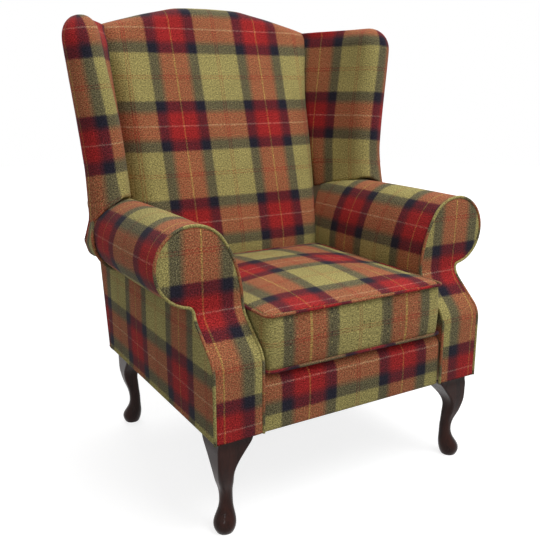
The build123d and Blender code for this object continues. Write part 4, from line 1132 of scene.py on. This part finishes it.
    def outside(self) -> tuple[bpy.types.Object, np.ndarray]:
        """The outside panel.

        Each level line runs from the seam to the rear plane. Its x is the smooth greater of the wing's
        outer face and a flare that leaves the arm's scroll and runs in towards the rear.

        Returns:
            The piece, and its front edge for the cord.
        """
        lines = self.lines
        half = lines.wing_half
        z = np.linspace(479.0, 1040.0, 150)
        rise = (z - lines.wing_origin[2] + self.out_fall * half) / self.rise_z
        face_depth = lines.wing_origin[1] + self.out_y * half + self.rise_y * rise
        high = face_depth + self.splay_y * self.seam(rise)
        share = eased((z - 625.0) / 40.0)
        start = lines.roll_end(z) * (1 - share) + high * share
        end = lines.rear_depth(z) - 2.5
        t = np.linspace(0.0, 1.0, 90)[:, None]
        depth = start + (end - start) * t
        along = (depth - face_depth) / self.splay_y
        top = lines.wing_rise - (along + half) * lines.wing_fall
        over = np.clip(rise - (top - self.round), 0.0, 44.5)
        sink = self.round - np.sqrt(self.round**2 - over**2)
        lean = self.leaning(along, rise)
        sink = sink + half - np.sqrt(np.maximum(half**2 - np.minimum(along, 0.0) ** 2, 0.0))
        out = half * (1 - self.slimming * lean) - sink
        wing = lines.wing_origin[0] - self.splay_x * along + self.rise_x * rise + self.out_x * out
        wing = wing + 1.1 * self.lean_out * lean
        wing = wing - 90.0 * (1 - eased((z - 575.0) / 45.0))
        under = np.minimum(z - lines.scroll_z, 0.0)
        scroll = lines.scroll_x + np.sqrt(np.maximum(lines.scroll_radius**2 - under**2, 0.0))
        front = np.minimum(scroll, np.interp(z, self.front_z, self.front_x))
        rear = softened(z, np.array(self.rear_z), np.array(self.rear_x), 6.0)
        back = np.clip((depth - 440.0) / 262.0, 0.0, 1.12)
        flare = front + (rear - front) * back - 3.0 * np.sin(np.pi * np.clip(back, 0.0, 1.0))
        flare = flare - 1.3 * np.maximum(z - 690.0, 0.0)
        x = (wing + flare + np.sqrt((wing - flare) ** 2 + 8.0**2)) / 2 - 1.5
        x = x + 5.0 * np.exp(-(depth - start) / 45.0) * (1 - eased((z - 610.0) / 60.0))
        x = np.maximum(x, 306.0)
        z = z - 13.0 * back * np.clip(1 - (z - 479.0) / 50.0, 0.0, 1.0)
        cloth = cloth_of(depth + self.outside_column, z + self.outside_row)
        points = self.mirrored(placed(x, depth, z, lines))
        word, inside = self.side.word, np.array([0.0, 200.0, 750.0])
        piece = grid_object(f"outside_wing_panel_{word}", [Grid(points, cloth)], inside)
        self.wool(thickened(piece, 4.0), f"outside_wing_{word}", fill=0.3)
        return piece, points[0]

    def cord(self, edge: np.ndarray) -> bpy.types.Object:
        """The cord along the seam, a little proud of the outside panel's front edge."""
        word = self.side.word
        line = edge + np.array([1.4 * self.side.value, -1.2, 0.0])
        piece = tube(f"wing_cord_{word}", line, 3.4, (float(self.side.value), 0.3, 0.0), 20.0, 12.0)
        return self.wool(piece, f"wing_piping_{word}")

    def build(self) -> None:
        """Make every piece of the wing."""
        self.padded_wing()
        _, edge = self.outside()
        self.cord(edge)


# ------------------------------------------------------------------ back
@dataclass
class BackRest(SubAssembly):
    """The inside back with its rolled crest, and the outside back panel."""

    crest_round: float = 40.0
    rear_round: float = 12.0
    belly: float = 8.0
    edge_roll: float = 46.0
    edge_more: float = 34.0
    row: float = -430.2
    foot: float = 316.0
    face_rows: int = 110
    columns: int = 151

    def inside(self) -> bpy.types.Object:
        """The inside back, whose sides curl back where the wings meet it.

        Its columns climb the raked face, turn over the crest on an arc that touches the face and the
        level top, cross the top and turn down at the rear."""
        lines, foot, face_rows, middle = self.lines, self.foot, self.face_rows, self.columns // 2
        s = np.linspace(-1.0, 1.0, self.columns)[None, :]
        crest = lines.crest_at(s * 306.0)
        angle, radius = lines.face_angle, self.crest_round
        rake = math.tan(angle)
        line_depth = lines.face_depth + (crest - lines.face_bend) * rake
        hub_depth = line_depth - radius * rake + radius / math.cos(angle)
        hub_z = crest - radius
        face_top = hub_z + radius * math.sin(angle)
        rows = np.linspace(0.0, 1.0, face_rows)[:, None]
        z_face = foot + (face_top - foot) * rows
        d_face = lines.face_depth_at(z_face)
        turn = np.linspace(angle, math.pi / 2, 20)[1:, None]
        z_roll = hub_z + radius * np.sin(turn)
        d_roll = hub_depth - radius * np.cos(turn)
        rear = lines.rear_depth(crest) - 1.5 - self.rear_round
        flat = np.linspace(0.0, 1.0, 12)[1:, None]
        d_flat = hub_depth + (rear - hub_depth) * flat
        z_flat = crest - 2.0 * flat**2
        down = np.linspace(0.0, math.pi / 2, 8)[1:, None]
        z_down = crest - 2.0 - self.rear_round * (1 - np.cos(down))
        d_down = rear + self.rear_round * np.sin(down)
        z = np.vstack([z_face, z_roll, z_flat, z_down, z_down[-1:] - 12.0])
        depth = np.vstack([d_face, d_roll, d_flat, d_down, d_down[-1:] - 7.0])
        half = lines.join_at(z)
        more = self.edge_more + (16.0 - self.edge_more) * eased((z - 960.0) / 80.0)
        x = s * (half + more)
        fading = np.cos((turn - angle) / (math.pi / 2 - angle) * math.pi / 2)
        behind = len(z) - face_rows - len(turn)
        front_share = np.vstack([np.ones((face_rows, 1)), fading, np.zeros((behind, 1))])
        curl = np.clip((np.abs(x) - (half - 22.0)) / (22.0 + more), 0.0, 1.0) ** 2
        upright = np.sin(np.pi * np.clip((z - 440.0) / 700.0, 0, 1))
        swell = self.belly * (1 - np.clip(np.abs(x) / half, 0, 1) ** 4) * upright
        roll = self.edge_roll + (16.0 - self.edge_roll) * eased((z - 940.0) / 80.0)
        depth = depth + front_share * (roll * curl - swell)
        slant = np.where(z_face[1:] > lines.face_bend, math.cos(angle), 1.0)
        steps = np.diff(z_face, axis=0) / slant
        climb = foot + np.cumsum(np.vstack([np.zeros((1, self.columns)), steps]), 0)
        last = face_rows - 1
        tail = run_lengths(np.stack([z[last:, middle], depth[last:, middle]], 1))
        run = np.vstack([climb, climb[last] + tail[1:, None]])
        cloth = cloth_of(x, run + self.row)
        points, inside = placed(x, depth, z, lines), np.array([0.0, 330.0, 700.0])
        piece = grid_object("back_cushioning", [Grid(points, cloth)], inside)
        return self.wool(thickened(piece, 8.0), "inside_back", fill=0.7)

    def outside(self) -> bpy.types.Object:
        """The outside back: level lines across the raked rear plane, slightly crowned."""
        lines = self.lines
        low = np.array([[217.4, 24.0], [217.4, 8.0], [218.4, 1.5]])
        top, bottom, levels = 1090.6, 221.0, 170
        z = np.concatenate([low[:, 0], top - (top - bottom) * (np.linspace(1.0, 0.0, levels) ** 1.25)])
        tuck = np.concatenate([low[:, 1], np.zeros(levels)])
        sides = softened(
            z,
            np.array([0.0, 452.0, 486.0, 509.0, 530.0, 561.0, 612.0, 667.0, 700.0, 790.0, 1200.0]),
            np.array([346.0, 346.0, 376.0, 383.0, 375.0, 364.0, 358.0, 352.0, 348.0, 307.0, 307.0]),
            8.0,
        )
        across = np.linspace(0.0, 320.0, 200)
        inverse = np.interp(z, lines.crest_at(across)[::-1] - 12.0, across[::-1])
        half = np.minimum(sides, np.where(z > 1020.0, inverse, sides))[:, None]
        half = np.maximum(half, 0.5)
        s = np.sin(np.linspace(-math.pi / 2, math.pi / 2, 90))
        x = half * s
        upright = np.sin(np.pi * np.clip((z - 217.0) / 874.0, 0, 1))[:, None]
        crown = 2.6 * (1 - np.abs(s) ** 5) * upright
        depth = lines.rear_depth(z)[:, None] - 1.0 + crown - tuck[:, None]
        cloth = cloth_of(x, z[:, None] + self.row - tuck[:, None])
        points, inside = placed(x, depth, z[:, None], lines), np.array([0.0, 0.0, 600.0])
        piece = grid_object("outside_back_panel", [Grid(points, cloth)], inside)
        return self.wool(thickened(piece, 4.5), "outside_back", fill=0.3)

    def build(self) -> None:
        """Make both pieces of the back."""
        self.inside()
        self.outside()


# ------------------------------------------------------------------ seat base
@dataclass
class SeatBase(SubAssembly):
    """The rail cover, the seat deck, the webbing and the dust cover."""

    strap_width: float = 50.0
    strap_thickness: float = 1.6

    def rail_cover(self) -> bpy.types.Object:
        """The front rail cover: a side view of underside, front and rounded top, carried across the chair."""
        profile = np.vstack(
            [
                [[44.0, 214.0], [12.5, 213.0]],
                arc((12.5, 219.0), 6.0, -math.pi / 2, -math.pi),
                [[6.5, 309.0]],
                arc((34.5, 309.6), 28.0, math.pi, math.pi / 2),
                [[64.0, 337.6]],
            ]
        )
        profile = evenly(profile, 2.6)
        run = run_lengths(profile)
        x = np.linspace(-242.4, 242.4, 130)[:, None]
        swell = 2.6 * np.sin(np.pi * np.clip((profile[:, 1] - 219.0) / 118.0, 0, 1))
        ends = 4.0 * np.clip((np.abs(x) - 236.0) / 6.4, 0, 1) ** 2
        depth = profile[:, 0] - swell * (1 - np.abs(x / 243.0) ** 8) + ends
        middle = int(np.argmin(np.abs(profile[:, 1] - 260.0) + np.abs(profile[:, 0] - 8.0)))
        front = run[middle]
        cloth = cloth_of(x, run - front + 260.0 - 186.0)
        points, inside = placed(x, depth, profile[:, 1], self.lines), np.array([0.0, -340.0, 280.0])
        piece = grid_object("rail_cover_front", [Grid(points, cloth)], inside)
        return self.wool(thickened(piece, 3.5), "front_rail_cover", fill=0.35)

    def deck(self) -> bpy.types.Object:
        """The platform under the cushion: a level pad whose edges fall away in a curve."""
        half, near, far, steps = 241.5, 61.0, 518.0, 60
        x = np.sin(np.linspace(-math.pi / 2, math.pi / 2, steps))[:, None] * half
        depth = near + (1 - np.cos(np.linspace(0.0, math.pi, steps)))[None, :] * ((far - near) / 2)
        gap = np.minimum(half - np.abs(x), np.minimum(depth - near, far - depth))
        z = 340.0 - 5.0 * (1 - np.clip(gap / 9.0, 0, 1)) ** 2
        points, inside = placed(x, depth, z, self.lines), np.array([0.0, -100.0, 200.0])
        piece = thickened(grid_object("deck_pad", [Grid(points, cloth_of(x, depth))], inside), 17.0)
        return self.dress(piece, self.finishes.platform, "platform_cloth", "seat_deck", fill=0.6)

    def strap(self, start: np.ndarray, end: np.ndarray, across: np.ndarray, sag: float) -> Grid:
        """One strap from start to end: a straight band that hangs by a sine of its length."""
        t = np.linspace(0.0, 1.0, 60)[:, None, None]
        s = np.linspace(-0.5, 0.5, 5)[None, :, None]
        points = start + (end - start) * t + across * s * self.strap_width
        points = points + np.array([0.0, 0.0, -1.0]) * sag * np.sin(np.pi * t)
        return Grid(points, points[..., :2])

    def webbing(self) -> None:
        """Lengthwise and crosswise straps on the seat frame, and four more across the back."""
        y = self.lines.y
        half, front, rear = 329.0, y(24.0), y(640.0)
        sideways, backwards = np.array([1.0, 0.0, 0.0]), np.array([0.0, 1.0, 0.0])
        long = [
            self.strap(np.array([x, front, 313.7]), np.array([x, rear, 313.7]), sideways, 5.0)
            for x in np.arange(-2, 3) * 100.0
        ]
        cross = [
            self.strap(np.array([-half, y(d), 315.4]), np.array([half, y(d), 315.4]), backwards, 3.2)
            for d in 289.0 + np.arange(-2, 3) * 98.0
        ]
        up = np.array([0.0, self.lines.back_rake, 1.0])
        back = []
        for z in 495.0 + np.arange(4) * 130.0:
            d = float(self.lines.rear_depth(np.array(z))) - 77.6
            back.append(self.strap(np.array([-289.0, y(d), z]), np.array([289.0, y(d), z]), up, 0.0))
        for name, grids, node, inside in (
            ("seat_straps_long", long, "seat_webbing_long", (0.0, 0.0, 100.0)),
            ("seat_straps_cross", cross, "seat_webbing_cross", (0.0, 0.0, 100.0)),
            ("back_straps", back, "back_webbing", (0.0, 2000.0, 700.0)),
        ):
            piece = grid_object(name, grids, np.array(inside))
            self.dress(thickened(piece, self.strap_thickness), self.finishes.webbing, "webbing", node)

    def dust_cover(self) -> bpy.types.Object:
        """The lining under the seat: a flat cut with square corners out for the legs, sagging a little."""
        half, near, far, cut = 330.0, 30.0, 635.0, 41.0
        legs = [(303.3, 51.7), (283.3, 609.3)]
        x_cuts = [s * (x + k) for s in (-1, 1) for x, _ in legs for k in (-cut, cut) if abs(x + k) < half]
        d_cuts = [d + k for _, d in legs for k in (-cut, cut) if near < d + k < far]
        xs = np.unique(np.concatenate([np.linspace(-half, half, 56), x_cuts]))
        ds = np.unique(np.concatenate([np.linspace(near, far, 50), d_cuts]))
        x, depth = xs[:, None], ds[None, :]
        sag = 2.5 * np.sin(np.pi * (x + half) / (2 * half)) * np.sin(np.pi * (depth - near) / (far - near))
        points = placed(x, depth, 216.4 - sag, self.lines)
        mx, md = (xs[1:] + xs[:-1])[:, None] / 2, (ds[1:] + ds[:-1])[None, :] / 2
        keep = np.ones((len(xs) - 1, len(ds) - 1), bool)
        for lx, ld in legs:
            keep &= ~((np.abs(np.abs(mx) - lx) < cut) & (np.abs(md - ld) < cut))
        inside = np.array([0.0, 0.0, 900.0])
        piece = grid_object("seat_lining", [Grid(points, points[..., :2], cells=keep)], inside)
        self.dress(thickened(piece, 0.6), self.finishes.lining, "black_lining", "dust_cover")
        return piece

    def build(self) -> None:
        """Make every piece of the seat base."""
        self.rail_cover()
        self.deck()
        self.webbing()
        self.dust_cover()


# ------------------------------------------------------------------ loose cushion
@dataclass
class BoxCushion(SubAssembly):
    """The loose box cushion: an inflated cover held at its two piped seams, its foam and its zip."""

    body: str = "seat_cushion"
    width: float = 474.0
    length: float = 514.0
    low: float = 341.0
    high: float = 469.0
    seam_in: float = 5.0
    corner: float = 18.0
    rise_cap: float = 9.0
    side_cap: float = 3.6
    cord_radius: float = 3.5
    top_row: float = -152.0
    border_row: float = -402.0

    def seam_line(self, out: float) -> np.ndarray:
        """The plan of the cushion's edge from the middle of its rear: straight sides and round corners.

        Args:
            out: how far the line stands outside the cushion.

        Returns:
            Points as x and depth.
        """
        half, radius = self.width / 2 + out, self.corner + out
        near, far = -out, self.length + out
        parts = [
            np.array([[0.0, far], [half - radius, far]]),
            arc((half - radius, far - radius), radius, math.pi / 2, 0.0),
            arc((half - radius, near + radius), radius, 0.0, -math.pi / 2),
            arc((-half + radius, near + radius), radius, -math.pi / 2, -math.pi),
            arc((-half + radius, far - radius), radius, math.pi, math.pi / 2),
            np.array([[0.0, far]]),
        ]
        return evenly(np.vstack(parts), 4.0)

    def inset(self, x: np.ndarray, depth: np.ndarray) -> np.ndarray:
        """Distance from places in the cushion's plan to its nearest side."""
        return np.minimum(self.width / 2 - np.abs(x), np.minimum(depth, self.length - depth))

    def inflate(self, piece: bpy.types.Object) -> None:
        """Blow the cover up by cloth simulation with its seams held, and cap how far each point moves."""
        points, _, _ = corner_points(piece)
        edge = self.inset(points[:, 0], points[:, 1] - self.lines.front_y)
        bottom = np.abs(points[:, 2] - self.low - self.seam_in) < 5.0
        top = np.abs(points[:, 2] - self.high + self.seam_in) < 5.0
        held = np.flatnonzero((bottom | top) & (edge < 9.0))
        group = piece.vertex_groups.new(name="seams")
        group.add(held.tolist(), 1.0, "REPLACE")
        cloth = piece.modifiers.new("cloth", "CLOTH")
        cloth.settings.use_pressure = True
        cloth.settings.uniform_pressure_force = 4.0
        cloth.settings.vertex_group_mass = "seams"
        cloth.settings.effector_weights.gravity = 0.0
        for step in range(1, 21):
            bpy.context.scene.frame_set(step)
        shape = piece.evaluated_get(bpy.context.evaluated_depsgraph_get()).to_mesh()
        moved = np.zeros(len(points) * 3)
        shape.vertices.foreach_get("co", moved)
        piece.modifiers.remove(cloth)
        bpy.context.scene.frame_set(1)
        step = moved.reshape(-1, 3) / MM - points
        sides = np.linalg.norm(step[:, :2], axis=1)
        step[:, :2] *= (np.tanh(sides / self.side_cap) * self.side_cap / np.maximum(sides, 1e-6))[:, None]
        step[:, 2] = np.tanh(step[:, 2] / self.rise_cap) * self.rise_cap
        final = points + step
        under = points[:, 2] < self.low + 40.0
        final[:, 2] = np.where(under, np.maximum(final[:, 2], self.low + 0.2), final[:, 2])
        piece.data.vertices.foreach_set("co", (final * MM).ravel())
        piece.data.update()

    def settle(self, piece: bpy.types.Object) -> None:
        """Raise and lower the top in soft pulls beside its seam."""
        points, _, _ = corner_points(piece)
        x, depth, z = points[:, 0], points[:, 1] - self.lines.front_y, points[:, 2]
        edge = self.inset(x, depth)
        top = eased((z - 466.0) / 6.0)
        pulls = 0.5 * np.sin(x / 9.0 + 2.0 * np.sin(x / 31.0)) * np.exp(-((edge - 12.0) / 10.0) ** 2)
        points[:, 2] = z + top * pulls
        piece.data.vertices.foreach_set("co", (points * MM).ravel())
        piece.data.update()

    def cover(self) -> bpy.types.Object:
        """The cover: the foam's form drawn as an even net, inflated, subdivided and laid with cloth.

        The top and bottom take x and depth as cloth coordinates. The border takes the distance round the
        edge, found as the nearest point of the seam line, and the height."""
        piece = stuffed(solid_copy("cushion_filling", "cushion_box"), 6.5, 2)
        self.inflate(piece)
        self.settle(piece)
        finer = piece.modifiers.new("finer", "SUBSURF")
        finer.levels = finer.render_levels = 1
        applied(piece)
        points, corner, face = corner_points(piece)
        line = self.seam_line(0.0)
        run = run_lengths(line)
        plan = np.stack([points[:, 0], points[:, 1] - self.lines.front_y], 1)
        parts = np.array_split(plan, 40)
        nearest = np.concatenate([((part[:, None] - line) ** 2).sum(-1).argmin(1) for part in parts])
        round_run = run[nearest] - run[-1] / 2
        count = np.bincount(face)
        p = points[corner]
        cz = (np.bincount(face, p[:, 2]) / count)[face]
        cx = (np.bincount(face, p[:, 0]) / count)[face]
        cd = (np.bincount(face, p[:, 1]) / count)[face] - self.lines.front_y
        edge = self.inset(cx, cd)
        border = (cz > self.low + self.seam_in) & (cz < self.high - self.seam_in + 1.0) & (edge < 30.0)
        around = round_run[corner]
        around = np.where((cx > 0) & (around > run[-1] / 4), around - run[-1], around)
        around = np.where((cx < 0) & (around < -run[-1] / 4), around + run[-1], around)
        u = np.where(border, -around, p[:, 0])
        v = np.where(border, (p[:, 2] + self.border_row) * 0.95, p[:, 1] - self.lines.front_y + self.top_row)
        lay_cloth(piece, np.stack([u, v], 1))
        return self.wool(piece, "cushion_cover", fill=0.85)

    def cord(self, name: str, z: float, node: str, start: float, row: float) -> bpy.types.Object:
        """One piping cord, a ring round the cushion at a height."""
        line = self.seam_line(-0.6)[:-1]
        ring = placed(line[:, 0], line[:, 1], np.full(len(line), z), self.lines)
        return self.wool(tube(name, ring, self.cord_radius, (0.0, 0.0, 1.0), start, row, closed=True), node)

    def foam(self) -> bpy.types.Object:
        """The foam inside the cover: a box with crowned top, as level rings shrinking to its middle."""
        rings, scale = [], 0.962
        plan = self.seam_line(0.0)[:-1] - np.array([0.0, self.length / 2])
        shares = (0.02, 0.6, 1.0, 1.0, 1.0, 0.97, 0.6, 0.02)
        heights = (345.0, 345.0, 349.0, 405.0, 459.0, 464.0, 474.0, 478.0)
        for share, z in zip(shares, heights):
            level = plan * scale * share + np.array([0.0, self.length / 2])
            rings.append(placed(level[:, 0], level[:, 1], np.full(len(level), z), self.lines))
        points = np.stack(rings)
        cloth = np.concatenate([points[..., :2], points[:, :1, :2]], 1)
        piece = grid_object("cushion_foam_block", [Grid(points, cloth, ring=True, capped=True)])
        return self.dress(piece, self.finishes.foam, "cushion_foam", "cushion_filling", fill=0.9)

    def zip(self) -> bpy.types.Object:
        """The zip at the rear: a tape with a row of teeth standing along its middle, as a wave of height."""
        x = np.linspace(-190.0, 190.0, 381)[:, None]
        z = np.linspace(-7.0, 7.0, 23)[None, :]
        teeth = 1.3 * np.exp(-((z / 1.9) ** 4)) * (0.6 + 0.4 * np.sign(np.sin(x * math.pi / 2)))
        proud = 2.2 + 0.8 * (1 - (x / 200.0) ** 8)
        depth = self.length + proud + teeth - 0.4 * (z / 7.0) ** 4
        points = placed(x, depth, z + 405.0, self.lines)
        piece = grid_object("zip_strip", [Grid(points, cloth_of(x, z))], np.array([0.0, 0.0, 405.0]))
        return self.dress(thickened(piece, 1.0), self.finishes.tape, "zip_tape", "cushion_zip")

    def build(self) -> None:
        """Make every piece of the cushion."""
        self.cover()
        self.cord("cushion_cord_top", self.high - self.seam_in, "cushion_piping_top", 600.0, 128.5 + 16.0)
        self.cord("cushion_cord_bottom", self.low + self.seam_in, "cushion_piping_bottom", 470.0, 76.0)
        self.foam()
        self.zip()


# ------------------------------------------------------------------ frame nodes that stay
@dataclass
class HiddenFrame(SubAssembly):
    """The legs, rails, blocks, boards and bolts, which keep their CAD shapes."""

    def build(self) -> None:
        """Give each node its own finish."""
        finishes = self.finishes
        for name, node in sorted(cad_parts.items()):
            if node.hide_render:
                continue
            if name.startswith("leg_bolt"):
                material = finishes.steel
            elif name.startswith("leg_"):
                material = finishes.mahogany
            elif name.startswith("wing_board"):
                material = finishes.plywood
            else:
                material = finishes.beech
            node.data.materials.clear()
            node.data.materials.append(material)
            log.info("%s: keeps its CAD shape, in %s", name, material.name)


# ------------------------------------------------------------------ studio
@dataclass
class Studio:
    """The pale floor, the soft lamps and the camera."""

    camera_place: tuple[float, float, float] = (-0.9342, -1.5621, 0.9103)
    camera_turn: tuple[float, float, float] = (75.625, 0.0, -31.352)
    lens: float = 48.31
    shift: tuple[float, float] = (-0.004, -0.0012)
    floor_radius: float = 7.0

    def camera(self) -> None:
        """The camera at the photograph's place."""
        data = bpy.data.cameras.new("camera")
        data.lens, data.sensor_width = self.lens, 36.0
        data.shift_x, data.shift_y = self.shift
        camera = bpy.data.objects.new("camera", data)
        camera.location = self.camera_place
        camera.rotation_euler = [math.radians(angle) for angle in self.camera_turn]
        bpy.context.scene.collection.objects.link(camera)
        bpy.context.scene.camera = camera

    def floor(self) -> None:
        """A round floor that keeps the shadow and looks white to the camera."""
        turn = np.linspace(0.0, 2 * math.pi, 73)
        ring = np.array([0.0, 0.4, 1.0])[:, None] * self.floor_radius / MM
        x, y, z = ring * np.cos(turn[:-1]), ring * np.sin(turn[:-1]), 0 * ring - 0.2 + 0 * turn[:-1]
        points = np.stack([x, y, z], -1)
        cloth = np.zeros((3, 73, 2))
        floor = grid_object("floor", [Grid(points, cloth, ring=True)], np.array([0.0, 0.0, -900.0]))
        material, nodes, shader = blank_material("pale_floor")
        place = nodes.add("TexCoord")
        cloud = nodes.add("TexNoise", Vector=place.outputs["Object"], Scale=3.0)
        greys = [(0.0, (0.35, 0.35, 0.35)), (1.0, (0.39, 0.39, 0.39))]
        nodes.put(shader.inputs["Base Color"], nodes.ramp(cloud.outputs["Fac"], greys))
        nodes.put(shader.inputs["Roughness"], 0.9)
        seen = nodes.add("LightPath")
        rays = nodes.calc("MAXIMUM", seen.outputs["Is Camera Ray"], seen.outputs["Is Transmission Ray"])
        rays = nodes.calc("MAXIMUM", rays, seen.outputs["Is Glossy Ray"])
        far = nodes.add("VectorMath", operation="LENGTH", _0=place.outputs["Object"])
        strength = nodes.calc("MULTIPLY", rays, nodes.spread(far.outputs["Value"], (0.7, 2.4), (0.80, 1.0)))
        glow = nodes.add("Emission", Color=(1.0, 1.0, 1.0, 1.0), Strength=strength)
        both = nodes.add("AddShader", _0=shader.outputs[0], _1=glow.outputs[0])
        nodes.put(material.node_tree.nodes["Material Output"].inputs["Surface"], both.outputs[0])
        floor.data.materials.append(material)

    def world(self) -> None:
        """An even pale surround, white where the camera sees it."""
        world = bpy.data.worlds.new("surround")
        world.use_nodes = True
        nodes = Nodes(world.node_tree)
        seen = nodes.add("LightPath")
        rays = nodes.calc("MAXIMUM", seen.outputs["Is Camera Ray"], seen.outputs["Is Transmission Ray"])
        rays = nodes.calc("MAXIMUM", rays, seen.outputs["Is Glossy Ray"])
        strength = nodes.calc("ADD", nodes.calc("MULTIPLY", rays, 0.70), 0.30)
        back = world.node_tree.nodes["Background"]
        nodes.put(back.inputs["Color"], (1.0, 1.0, 1.0, 1.0))
        nodes.put(back.inputs["Strength"], strength)
        bpy.context.scene.world = world

    def lamp(self, name: str, place: tuple[float, float, float], size: float, power: float) -> None:
        """A square soft lamp that faces the chair."""
        data = bpy.data.lights.new(name, "AREA")
        data.size, data.energy = size, power
        lamp = bpy.data.objects.new(name, data)
        lamp.location = place
        aim = np.array([0.0, 0.0, 0.55]) - np.array(place)
        tilt = math.atan2(math.hypot(aim[0], aim[1]), -aim[2])
        lamp.rotation_euler = (tilt, 0.0, math.atan2(aim[1], aim[0]) - math.pi / 2)
        bpy.context.scene.collection.objects.link(lamp)

    def build(self) -> None:
        """Set the stage."""
        self.camera()
        self.floor()
        self.world()
        self.lamp("key_lamp", (0.9, -1.8, 3.4), 2.2, 92.0)
        self.lamp("side_lamp", (-2.4, -1.2, 2.0), 1.6, 3.0)
        self.lamp("back_lamp", (0.4, 1.6, 3.2), 2.0, 36.0)
        self.lamp("front_lamp", (-1.9, -2.6, 1.6), 0.5, 7.0)
        bpy.context.scene.view_settings.view_transform = "Standard"


def main() -> None:
    """Build the studio and every sub-assembly."""
    logging.basicConfig(level=logging.INFO, format="%(message)s")
    lines, finishes = ChairLines(), Finishes()
    Studio().build()
    Arm(lines, finishes, side=Side.RIGHT).build()
    Arm(lines, finishes, side=Side.LEFT, column=-250.0, row=-469.5, facing_slant=0.0).build()
    Wing(lines, finishes, side=Side.RIGHT).build()
    Wing(lines, finishes, side=Side.LEFT, column=90.0, row=-46.5).build()
    BackRest(lines, finishes).build()
    SeatBase(lines, finishes).build()
    BoxCushion(lines, finishes).build()
    HiddenFrame(lines, finishes).build()


if __name__ == "__main__":
    main()
